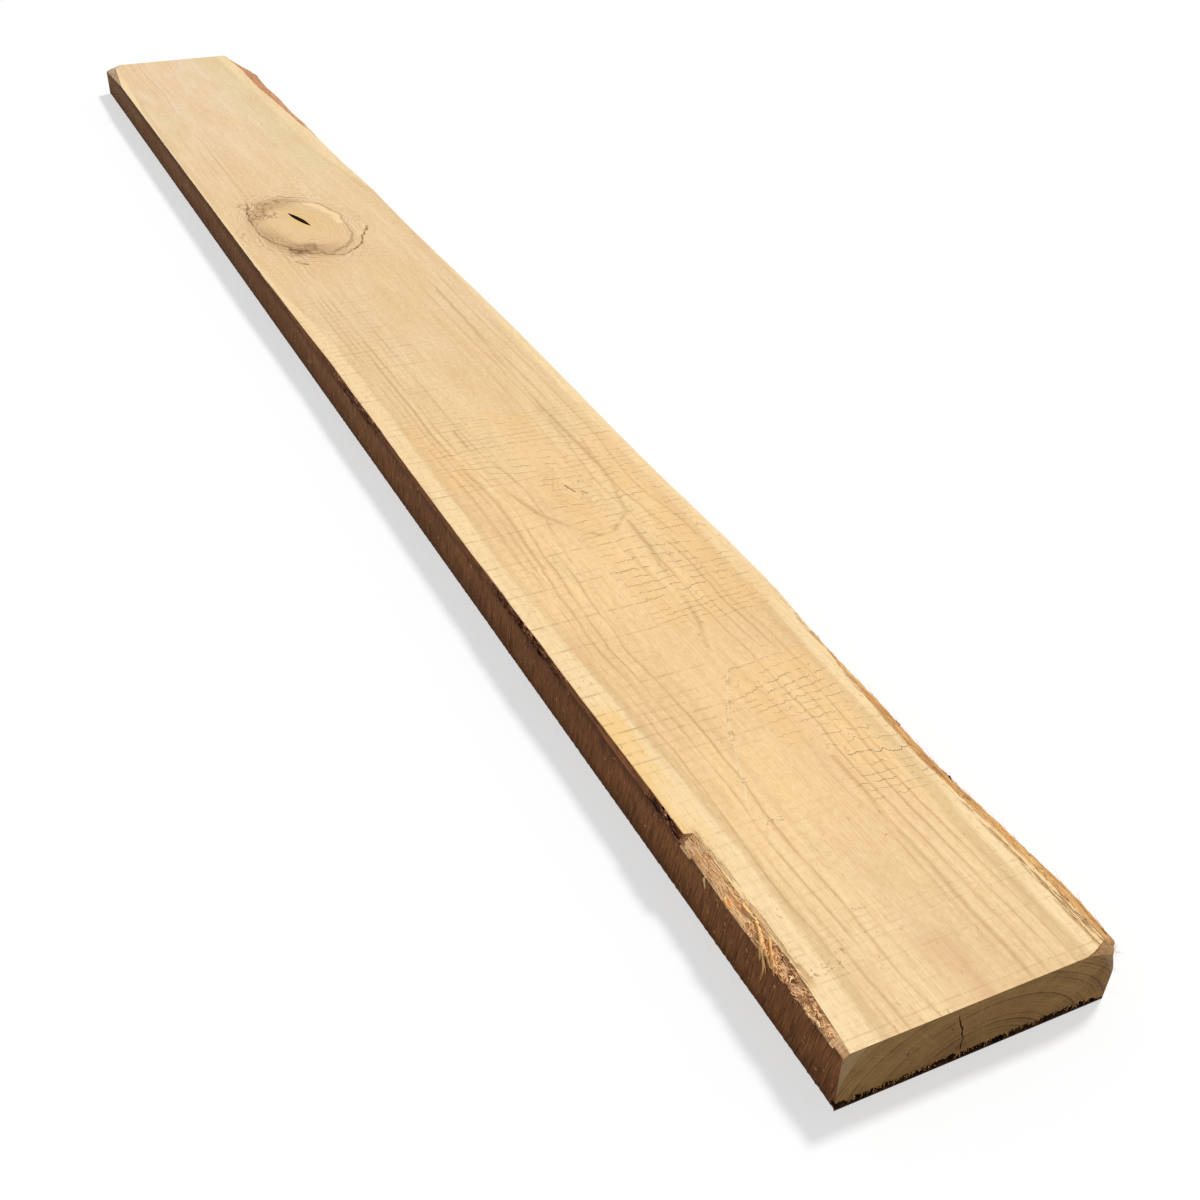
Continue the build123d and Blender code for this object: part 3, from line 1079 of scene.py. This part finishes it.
def pale_scar(wood):
    """A pale scratch that runs slantwise over the near part, with dark ticks along its edges."""
    scar = wood.stroke(ragged_place(wood, 70, 0.0045), PALE_SCAR)
    wood.paint(srgb(240, 218, 178), wood.falls(scar, 0.0003, 0.0014), wood.top, 0.42)
    ticks = wood.ranged(wood.grain((230, 90, 90), 2, shift=8), 0.52, 0.64)
    wood.paint(srgb(150, 118, 82), wood.window(scar, 0.0008, 0.0012, 0.0010), ticks, wood.top, 0.50)


# %% The pin knot and specks
PIN_SIZE = (0.048, 0.024)
PIN_TICKS = ([(0.570, 0.130), (0.584, 0.1325)], [(0.586, 0.1400), (0.592, 0.1425)])
SPECK_ROWS = ((1.152, 1.156, 0.069, 0.080), (1.180, 1.183, 0.041, 0.046), (1.187, 1.193, 0.016, 0.040),
              (1.060, 1.063, 0.062, 0.074))


def pin_knot(wood):
    """Faint rings round a knot that is no wider than a finger, and two dark ticks in it."""
    uneven = wood.grain((30, 60, 60), 3, 0.6, shift=6)
    out = wood.add(wood.hypotenuse(*from_knot(wood, PIN_KNOT, PIN_SIZE)), wood.sway(uneven, 0.6))
    rings = wood.power(wood.part_of(wood.times(out, 5.0)), 3.0)
    rings = wood.times(rings, wood.falls(out, 0.9, 1.4), wood.top)
    wood.paint(srgb(184, 144, 96), rings, wood.ranged(uneven, 0.40, 0.60, 0.2, 1.0), 0.36)
    place = ragged_place(wood, 60, 0.006)
    tick = wood.least(*(wood.stroke(place, points) for points in PIN_TICKS))
    wood.paint(srgb(128, 92, 58), wood.falls(tick, 0.0004, 0.0016), wood.top, 0.75)


def specks(wood):
    """Short dotted rows of dark specks left by the saw's teeth."""
    dots = wood.grain((480, 420, 420), 2, 0.6, shift=1.3)
    zone = wood.patches(SPECK_ROWS, 0.002, 0.003)
    wood.paint(srgb(152, 108, 68), zone, wood.ranged(dots, 0.54, 0.64), 0.55)
    wood.tint(srgb(168, 128, 84), wood.grain((170, 330, 330), 1, shift=5.9), 0.745, 0.790, 0.50)


# %% [markdown]
# ## The sawn face put together
#
# One finish over the whole top would be too deep a tree for the renderer, so the far, the middle and
# the near part have a finish each. All three start from the same tones and bands, so their borders
# don't show, and each then takes only the marks that lie in its part.

# %% Tones that run through the whole face
def base_colour(wood):
    wood.start(wood.ranged(wood.x, -1.10, -0.15), srgb(232, 208, 176), srgb(231, 202, 158))
    wood.paint(srgb(246, 209, 153), wood.ranged(wood.x, 0.10, 0.75))
    wood.paint(srgb(245, 213, 163), wood.ranged(wood.x, 1.02, 1.20))
    cloud = wood.grain((4.5, 15, 15), 3, shift=5)
    wood.tint(srgb(222, 186, 136), cloud, 0.42, 0.66, 0.50)
    wood.tint(srgb(216, 190, 138), cloud, 0.44, 0.28, 0.45)
    wood.tint(srgb(230, 190, 150), wood.grain((6, 22, 22), 2, shift=21), 0.54, 0.72, 0.40)
    return cloud


# %% The sapwood bands and the rings
LEFT_BAND = ((-1.25, 0.018), (-0.85, 0.004), (-0.10, 0.004), (0.16, 0.022), (0.80, 0.021), (1.0, 0.030))
RIGHT_BAND = ((-1.25, 0.204), (-0.52, 0.213), (-0.35, 0.240), (0.0, 0.226), (0.66, 0.208), (1.25, 0.184))


def sapwood_bands(wood):
    """The pale band along each side, a stripe of painted shade inside it and, at the far end, a wider
    greenish stripe of painted shade.
    """
    v = wood.add(wood.across, wood.sway(wood.grain((7, 8, 8), 3, 0.6, shift=2.2), 0.012))
    left, right = wood.along(*LEFT_BAND), wood.along(*RIGHT_BAND)
    in_left = wood.ranged(wood.less(left, v), -0.0016, 0.0022)
    in_right = wood.ranged(wood.less(v, right), -0.0016, 0.0024)
    band = wood.times(wood.most(in_left, in_right), wood.top)
    depth = wood.along((-1.2, 0.80), (-0.5, 0.70), (0.1, 0.75), (0.8, 1.0))
    wood.paint(srgb(248, 220, 172), band, depth, 0.85)
    past_left, before_right = wood.less(v, left), wood.less(right, v)
    # painted shade: a darker stripe just inside each sapwood band
    shade = wood.window(past_left, 0.001, 0.0045, 0.0045)
    shade = wood.most(shade, wood.window(before_right, 0.001, 0.0060, 0.0060))
    depth = wood.along((-1.0, 0.55), (-0.4, 0.50), (0.2, 0.30), (0.75, 0.75), (1.0, 1.0))
    wood.paint(srgb(204, 172, 122), shade, wood.top, depth, 0.42)
    # painted shade, greenish and wider, inside the right band on the far part
    greenish_shade = wood.times(wood.window(before_right, 0.001, 0.030, 0.030), wood.falls(wood.x, -0.60, -0.20))
    wood.paint(srgb(220, 201, 153), greenish_shade, wood.top, 0.42)
    return band, v


def rings_on_top(wood, band):
    """The late rings as dark lines, and the rest of the stronger years as a soft shade."""
    line, strength, sap, part = log_rings(wood)
    depth = wood.along((-1.1, 0.30), (-0.4, 0.40), (0.1, 0.40), (0.8, 0.32))
    not_band = wood.ranged(band, 0.0, 1.0, 1.0, 0.35)
    wood.paint(srgb(184, 142, 94), line, depth, not_band, 0.60)
    wood.paint(srgb(210, 172, 120), wood.window(part, 0.45, 0.80, 0.20), strength, depth, not_band, 0.30)


def fine_grain(wood):
    """Fibres, streaks and grainy light and dark; gives back the fibres, which are also its relief."""
    fibre = wood.grain((16, 720, 720), 4, 0.62)
    wood.tint(srgb(206, 166, 116), fibre, 0.44, 0.66, 0.24)
    streak = wood.grain((9, 170, 170), 3, 0.6, shift=17)
    wood.tint(srgb(214, 176, 126), streak, 0.50, 0.70, 0.24)
    wood.tint(srgb(250, 222, 174), streak, 0.50, 0.30, 0.22)
    grainy = wood.grain((210, 330, 330), 3, 0.7, shift=11)
    wood.tint(srgb(214, 172, 116), grainy, 0.50, 0.70, 0.36)
    wood.tint(srgb(255, 228, 180), grainy, 0.50, 0.30, 0.30)
    return wood.times(fibre, 0.35)


# %% What only the near part has
STAIN = (0.92, 1.05, 0.004, 0.018, 0.035, 0.007)
BLUSH = (1.205, 1.25, 0.088, 0.108, 0.03, 0.010)
BY_FACET = (1.056, 1.190, -0.01, 0.0125, 0.016, 0.004)
TORN_FROM = ((0.70, 0.222), (0.88, 0.212), (1.02, 0.201), (1.25, 0.194))


def near_stains(wood, cloud):
    """A golden stain by the torn arris, a blush at the end, and the torn wood along both sides."""
    wood.paint(srgb(240, 196, 116), wood.patch(*STAIN), wood.ranged(cloud, 0.35, 0.60), wood.top, 0.60)
    wood.paint(srgb(214, 172, 128), wood.patch(*BLUSH), wood.ranged(cloud, 0.3, 0.6), wood.top, 0.60)
    bits = wood.grain((30, 330, 330), 4, 0.62, shift=31)
    past = wood.add(wood.less(wood.across, wood.along(*TORN_FROM)), wood.sway(bits, 0.010))
    by_edge = wood.times(wood.ranged(wood.x, 0.78, 0.92), wood.ranged(past, -0.001, 0.003))
    torn = wood.times(wood.most(by_edge, wood.times(wood.patch(*BY_FACET), 0.7)), wood.top)
    wood.paint(srgb(242, 200, 136), torn, 0.50)
    torn = wood.times(torn, wood.ranged(bits, 0.47, 0.57))
    wood.paint(srgb(198, 140, 80), torn, 0.80)
    return torn


# %% The three parts of the face
FAR_SCRATCHES = ((0.044, 0.0016, 0.7), (0.058, 0.0014, 1.0), (0.067, 0.0012, 0.6))
FACE_RELIEF = 0.0010
FACE_ROUGHNESS = 0.74


def start_sawn_face(name):
    """What all three parts have: the finish, its relief so far, its clouds, its bands and the waver."""
    wood = Finish(finishes[name])
    cloud = base_colour(wood)
    band, v = sapwood_bands(wood)
    rings_on_top(wood, band)
    return wood, fine_grain(wood), cloud, band, v


def make_knot_part():
    wood, height, cloud, band, v = start_sawn_face("sawn_face_knot")
    lip, shade, zone = torn_grain(wood, TORN_FAR)
    # painted shade on the shaded side of the torn strokes
    wood.paint(srgb(186, 150, 108), shade, wood.top, 0.70)
    scratches = wood.times(wood.lines_at(v, FAR_SCRATCHES), wood.top, wood.ranged(cloud, 0.34, 0.58))
    wood.paint(srgb(192, 156, 112), scratches, 0.55)
    knot_heart(wood)
    knot_rim(wood)
    wood.finish(wood.bump(height, FACE_RELIEF), FACE_ROUGHNESS)


def make_marked_part(name, near):
    wood, height, cloud, band, v = start_sawn_face(name)
    if near:
        height = wood.less(height, near_stains(wood, cloud))
    marks = wood.times(saw_marks(wood, near), wood.top)
    wood.paint(srgb(186, 146, 98), marks, wood.ranged(band, 0.0, 1.0, 0.42, 0.60))
    lip, shade, zone = torn_grain(wood, TORN_NEAR if near else TORN_MIDDLE)
    wood.paint(srgb(242, 196, 132), zone, wood.ranged(cloud, 0.35, 0.6), 0.34)
    lip, shade = wood.times(lip, wood.top), wood.times(shade, wood.top)
    # painted highlight on each torn lip and painted shade on the side beside it
    wood.paint(srgb(255, 230, 178), lip, 0.55)
    wood.paint(srgb(176, 132, 80), shade, 0.80)
    torn_relief = wood.times(wood.less(lip, shade), 0.45)
    height = wood.add(height, wood.less(torn_relief, wood.times(marks, 0.4)))
    growth_lines(wood, name)
    for mark in (pale_scar, specks) if near else (pin_knot,):
        mark(wood)
    wood.finish(wood.bump(height, FACE_RELIEF), FACE_ROUGHNESS)


make_knot_part()
make_marked_part("sawn_face", near=False)
make_marked_part("sawn_face_near", near=True)

# %% [markdown]
# ## The sawn side
#
# The side is brown from lying outdoors and hairy from the saw, which scratched it up and down with a
# slight lean. Scratches could be cut in the mesh, but they are finer than its columns, so noise that
# is drawn out along the lean colours them and lifts them with a bump. Under the arris runs a darker
# band, the brown of the cambium deepened by painted shade, and the foot of the side is darker.

# %% The sawn side
SAW_LEAN = 0.22


def make_sawn_side():
    wood = Finish(finishes["sawn_side"])
    line, strength, sap, part = log_rings(wood)
    leaning = wood.less(wood.x, wood.times(wood.z, SAW_LEAN))
    scratch = wood.noise(wood.vector(wood.times(leaning, 760), 0.0, wood.times(wood.z, 34)), 3, 0.66)
    coarse = wood.noise(wood.vector(wood.times(leaning, 150), 5.0, wood.times(wood.z, 45)), 4, 0.65)
    wood.start(wood.ranged(wood.x, -1.2, 1.1), srgb(148, 106, 72), srgb(158, 104, 60))
    wood.tint(srgb(130, 82, 48), wood.grain((7, 20, 30), 3, shift=3), 0.38, 0.62, 0.6)
    wood.paint(srgb(98, 58, 34), line, 0.45)
    wood.tint(srgb(104, 62, 36), coarse, 0.46, 0.66, 0.50)
    wood.tint(srgb(80, 46, 28), scratch, 0.50, 0.64, 0.80)
    wood.tint(srgb(196, 144, 94), scratch, 0.46, 0.32, 0.55)
    # cambium brown and painted shade: a darker band under the arris, weaker past the facet's start
    under = wood.ranged(wood.add(wood.z, wood.sway(coarse, 0.012)), 0.034, 0.046)
    wood.paint(srgb(78, 46, 30), under, wood.along((1.04, 1.0), (1.06, 0.35)), 0.62)
    # darker towards the foot of the side
    foot = wood.falls(wood.add(wood.z, wood.sway(coarse, 0.010)), 0.001, 0.010)
    wood.paint(srgb(84, 52, 34), foot, 0.45)
    wood.tint(srgb(222, 176, 120), wood.grain((260, 260, 190), 2, shift=14), 0.68, 0.74, 0.8)
    wood.tint(srgb(58, 34, 22), wood.grain((210, 200, 90), 2, shift=27), 0.68, 0.76, 0.75)
    wood.finish(wood.bump(coarse, 0.0020, wood.bump(scratch, 0.0016), 0.7), 0.88)


make_sawn_side()

# %% [markdown]
# ## The natural edge and the torn arris
#
# Both are wood that was never sawn: sapwood that the bark tore into ridges. The mesh already has the
# large ridges. The finish adds the fine ones, with noise that is long along the plank and short
# across it. The edge is golden near the end and reddish at the far end. The torn arris is dark where
# it still has bark, pale on the facet near the end, and crumbly towards the corner.

# %% The natural edge
def make_natural_edge():
    wood = Finish(finishes["natural_edge"])
    ridge = wood.grain((26, 420, 300), 4, 0.65)
    patchy = wood.grain((9, 60, 60), 3, 0.6, shift=6)
    wood.start(wood.ranged(wood.x, 0.80, 0.98), srgb(226, 190, 140), srgb(224, 176, 112))
    wood.paint(srgb(204, 150, 108), wood.falls(wood.x, -0.98, -0.55))
    wood.tint(srgb(190, 132, 82), patchy, 0.40, 0.64, 0.65)
    wood.tint(srgb(150, 98, 58), ridge, 0.44, 0.66, 0.75)
    wood.tint(srgb(248, 214, 158), ridge, 0.44, 0.30, 0.60)
    foot = wood.falls(wood.add(wood.z, wood.sway(patchy, 0.03)), 0.012, 0.032)
    wood.paint(srgb(128, 80, 48), foot, 0.60)
    # painted shade: the natural edge turns brown-grey over its last centimetre, where its rounded corner
    # turns from the light
    wood.paint(srgb(150, 116, 86), wood.ranged(wood.x, X_NEAR - 0.014, X_NEAR - 0.002), 0.70)
    wood.tint(srgb(66, 38, 26), wood.grain((60, 150, 150), 3, 0.6, shift=15), 0.64, 0.70, 0.85)
    wood.finish(wood.bump(ridge, 0.0022), 0.86)


make_natural_edge()

# %% The torn arris over the sawn side
FACET_STARTS = (1.046, 1.050)
END_SAW_PITCH = 0.0030


def make_torn_arris():
    wood = Finish(finishes["torn_arris"])
    ridge = wood.grain((30, 520, 380), 4, 0.62)
    patchy = wood.grain((60, 120, 120), 3, 0.6, shift=6)
    facet = wood.ranged(wood.x, *FACET_STARTS)
    wood.start(facet, srgb(150, 96, 58), srgb(252, 206, 154))
    wood.tint(wood.mix(facet, srgb(84, 48, 32), srgb(230, 174, 114)), patchy, 0.48, 0.68, 0.55)
    crumbly = wood.ranged(wood.x, CRUMBLE_FROM, CRUMBLE_FROM + 0.02)
    crumbly = wood.times(crumbly, wood.falls(wood.x, CRUMBLE_TO - 0.01, CRUMBLE_TO))
    wood.paint(srgb(150, 98, 62), crumbly, wood.ranged(patchy, 0.42, 0.60), 0.7)
    wood.tint(wood.mix(facet, srgb(60, 34, 24), srgb(186, 128, 78)), ridge, 0.52, 0.66, 0.60)
    wood.paint(srgb(205, 152, 88), wood.ranged(wood.x, X_NEAR - 0.006, X_NEAR - 0.001), 0.6)
    far = wood.times(wood.falls(wood.x, -1.0, -0.9), wood.ranged(ridge, 0.40, 0.62, 0.90, 0.55))
    wood.paint(srgb(212, 184, 148), far)
    saw = wood.window(wood.part_of(wood.times(wood.x, 1 / END_SAW_PITCH)), 0.4, 0.55, 0.2)
    clean_end = wood.ranged(wood.x, CRUMBLE_TO - 0.002, CRUMBLE_TO + 0.002)
    wood.paint(srgb(180, 130, 82), clean_end, saw, 0.35)
    wood.finish(wood.bump(ridge, 0.0014), 0.84)


make_torn_arris()

# %% [markdown]
# ## The end grain
#
# The end shows the rings themselves, so it uses the same rings as the top, darker and broken by
# blotches. Rays run out from the pith: they are noise that changes quickly with the angle round the
# pith and slowly with the distance. The pale rim is the sapwood.

# %% The end grain
def make_end_grain():
    wood = Finish(finishes["end_grain"])
    line, strength, sap, part = log_rings(wood)
    pores = wood.grain((300, 900, 900), 3, 0.6)
    from_pith = wood.less(wood.across, end_to_end(wood, PITH_FAR, PITH_NEAR))
    angle = wood.calc("ARCTAN2", wood.less(wood.z, PITH_Z), from_pith)
    rays = wood.vector(wood.times(angle, 60), wood.times(wood.z, 14), wood.times(wood.across, 14))
    cloud = wood.ranged(wood.grain((10, 26, 40), 3, shift=4), 0.36, 0.64)
    wood.start(cloud, srgb(172, 131, 78), srgb(160, 120, 72))
    wood.paint(srgb(186, 146, 88), wood.falls(wood.across, 0.0, 0.09), 0.55)
    wood.tint(srgb(200, 160, 106), wood.noise(rays, 3, 0.6), 0.50, 0.66, 0.26)
    blotch = wood.grain((30, 80, 110), 4, 0.65, shift=8)
    sharp = wood.calc("MULTIPLY", line, 1.8, clamp=True)
    wood.paint(srgb(76, 50, 28), sharp, wood.ranged(blotch, 0.36, 0.60, 0.35, 0.95))
    bold = wood.times(wood.window(part, 0.50, 0.85, 0.20), wood.power(strength, 1.5))
    wood.paint(srgb(84, 56, 32), bold, wood.ranged(blotch, 0.40, 0.58, 0.15, 1.0), 0.80)
    wood.tint(srgb(132, 96, 56), blotch, 0.50, 0.70, 0.40)
    wood.paint(srgb(190, 160, 120), sap, 0.60)
    wood.paint(srgb(120, 88, 54), wood.window(wood.ranged(sap, 0.0, 1.0), 0.30, 0.60, 0.25), 0.50)
    wood.tint(srgb(124, 92, 58), pores, 0.48, 0.68, 0.35)
    wood.tint(srgb(72, 44, 26), wood.grain((10, 190, 190), 2, shift=9), 0.73, 0.77, 0.9)
    wood.paint(srgb(168, 120, 62), wood.falls(wood.z, 0.002, 0.010), 0.5)
    # painted shade: the bottom few millimetres of the end go nearly black, as shadow where the end meets the
    # floor
    wood.paint(srgb(46, 28, 18), wood.falls(wood.z, 0.0016, 0.0034), 0.92)
    wood.finish(wood.bump(line, 0.0006, wood.bump(pores, 0.0006)), 0.82)


make_end_grain()

# %% [markdown]
# ## Check walls and loose wood
#
# The inside of a check, the fibres, the crumbs, the bark and the fringe are too small for patterns of
# their own. They share one recipe with three tones each. The scale says how fine the tones change,
# and the bump gets shallower as they get finer, or thin strands would turn grey.

# %% Loose wood
LOOSE_RELIEF = 0.03
LOOSE_WOOD = (
    # painted shade: the walls of the checks and of the broken arris's recess are dark brown to near black, so
    # they read as shadowed gaps
    (finishes["check_wall"], srgb(84, 52, 30), srgb(40, 24, 14), srgb(120, 78, 46), 300),
    (fibre_finish, srgb(255, 208, 138), srgb(238, 176, 102), srgb(255, 230, 176), 110),
    (crumb_finish, srgb(250, 206, 152), srgb(186, 128, 86), srgb(255, 230, 182), 190),
    (bark_finish, srgb(112, 64, 44), srgb(58, 30, 24), srgb(186, 132, 90), 150),
    (fringe_finish, srgb(255, 198, 122), srgb(230, 156, 90), srgb(255, 226, 166), 600),
)

for material, base, dark, pale, scale in LOOSE_WOOD:
    wood = Finish(material)
    tone = wood.grain((scale * 0.5, scale, scale), 3, 0.6)
    wood.start(wood.ranged(tone, 0.50, 0.62), base, dark)
    wood.paint(pale, wood.ranged(tone, 0.46, 0.36))
    strands = wood.grain((scale * 2, scale * 8, scale * 8), 3, 0.6)
    wood.tint(dark, strands, 0.50, 0.70, 0.4)
    wood.finish(wood.bump(strands, LOOSE_RELIEF / scale), 0.85)

# %% [markdown]
# ## Camera, floor and light
#
# The camera stands at the photograph's viewing angle, and its small shift is the photograph's
# framing. The key light comes from behind and above, as it does outdoors there: the top is lit, and
# the sawn side and the near end are in soft shade. White behind the plank could come from more light,
# but that would bleach the wood. So the floor and the world only look white to the rays that show
# them, and light the wood at a plain level. The floor keeps the plank's shadow.

# %% Camera
PHOTO_SIDE = 1200
FOCAL_PIXELS = 1430
SENSOR = 36
VIEW_FROM = Vector((X_NEAR + 0.4230, Y_SAWN - 0.3660, 0.7249))
VIEW_AZIMUTH = math.radians(64.21)
VIEW_ELEVATION = math.radians(34.18)
VIEW_ROLL = math.radians(0.93)

back = Vector((
    math.sin(VIEW_AZIMUTH) * math.cos(VIEW_ELEVATION),
    -math.cos(VIEW_AZIMUTH) * math.cos(VIEW_ELEVATION),
    math.sin(VIEW_ELEVATION),
))
camera_data = bpy.data.cameras.new("camera")
camera_data.sensor_width = SENSOR
camera_data.lens = SENSOR * FOCAL_PIXELS / PHOTO_SIDE
camera_data.shift_x = 2 / PHOTO_SIDE
camera_data.shift_y = 11.4 / PHOTO_SIDE
camera_data.clip_end = 50
camera = linked("camera", camera_data)
turn = back.to_track_quat("Z", "Y").to_matrix() @ Matrix.Rotation(VIEW_ROLL, 3, "Z")
camera.matrix_world = Matrix.Translation(VIEW_FROM) @ turn.to_4x4()
bpy.context.scene.camera = camera
print("lens", round(camera_data.lens, 2))

# %% Rays that show the background


def seen_directly(tree):
    """1 for the rays that show a background: from the camera, off shiny things or through glass."""
    ray = tree.nodes.new("ShaderNodeLightPath")
    direct = ray.outputs["Is Camera Ray"]
    for kind in ("Is Glossy Ray", "Is Transmission Ray"):
        either = tree.nodes.new("ShaderNodeMath")
        either.operation = "MAXIMUM"
        tree.links.new(direct, either.inputs[0])
        tree.links.new(ray.outputs[kind], either.inputs[1])
        direct = either.outputs[0]
    return direct


def shader(tree, kind, **values):
    made = tree.nodes.new(kind)
    for name, value in values.items():
        made.inputs[name].default_value = value
    return made


def blend(tree, first, second, share=None):
    """Two shaders mixed by a share, or the second one only where the background is seen directly."""
    mixed = shader(tree, "ShaderNodeMixShader")
    if share is None:
        tree.links.new(seen_directly(tree), mixed.inputs["Fac"])
    else:
        mixed.inputs["Fac"].default_value = share
    tree.links.new(first.outputs[0], mixed.inputs[1])
    tree.links.new(second.outputs[0], mixed.inputs[2])
    return mixed


# %% Floor
FLOOR_REACH = 30
FLOOR_WHITE = 0.60
WHITE = (1, 1, 1, 1)

floor_shape = bmesh.new()
bmesh.ops.create_grid(floor_shape, x_segments=1, y_segments=1, size=FLOOR_REACH)
floor = linked("floor", as_mesh("floor", floor_shape))

pale = bpy.data.materials.new("pale_floor")
pale.use_nodes = True
tree = pale.node_tree
matt = tree.nodes["Principled BSDF"]
matt.inputs["Base Color"].default_value = (0.62, 0.62, 0.61, 1)
matt.inputs["Roughness"].default_value = 0.95
bright_matt = shader(tree, "ShaderNodeBsdfDiffuse", Color=(0.96, 0.96, 0.96, 1))
paper = shader(tree, "ShaderNodeEmission", Color=WHITE)
choice = blend(tree, matt, blend(tree, bright_matt, paper, FLOOR_WHITE))
tree.links.new(choice.outputs[0], tree.nodes["Material Output"].inputs["Surface"])
floor.data.materials.append(pale)
print("floor", FLOOR_REACH)

# %% Light
SUN_STRENGTH = 2.75
SKY_STRENGTH = 0.33

sun_data = bpy.data.lights.new("key", "SUN")
sun_data.energy = SUN_STRENGTH
sun_data.angle = math.radians(9)
sun = linked("key", sun_data)
sun.rotation_euler = Vector((-0.25, 0.5, 0.83)).to_track_quat("Z", "Y").to_euler()

world = bpy.data.worlds.new("studio")
bpy.context.scene.world = world
world.use_nodes = True
sky_tree = world.node_tree
sky = sky_tree.nodes["Background"]
sky.inputs["Color"].default_value = WHITE
sky.inputs["Strength"].default_value = SKY_STRENGTH
backdrop = shader(sky_tree, "ShaderNodeBackground", Color=WHITE, Strength=1)
either_sky = blend(sky_tree, sky, backdrop)
sky_tree.links.new(either_sky.outputs[0], sky_tree.nodes["World Output"].inputs["Surface"])

bpy.context.scene.view_settings.view_transform = "Standard"
print("sun", SUN_STRENGTH, "sky", SKY_STRENGTH)
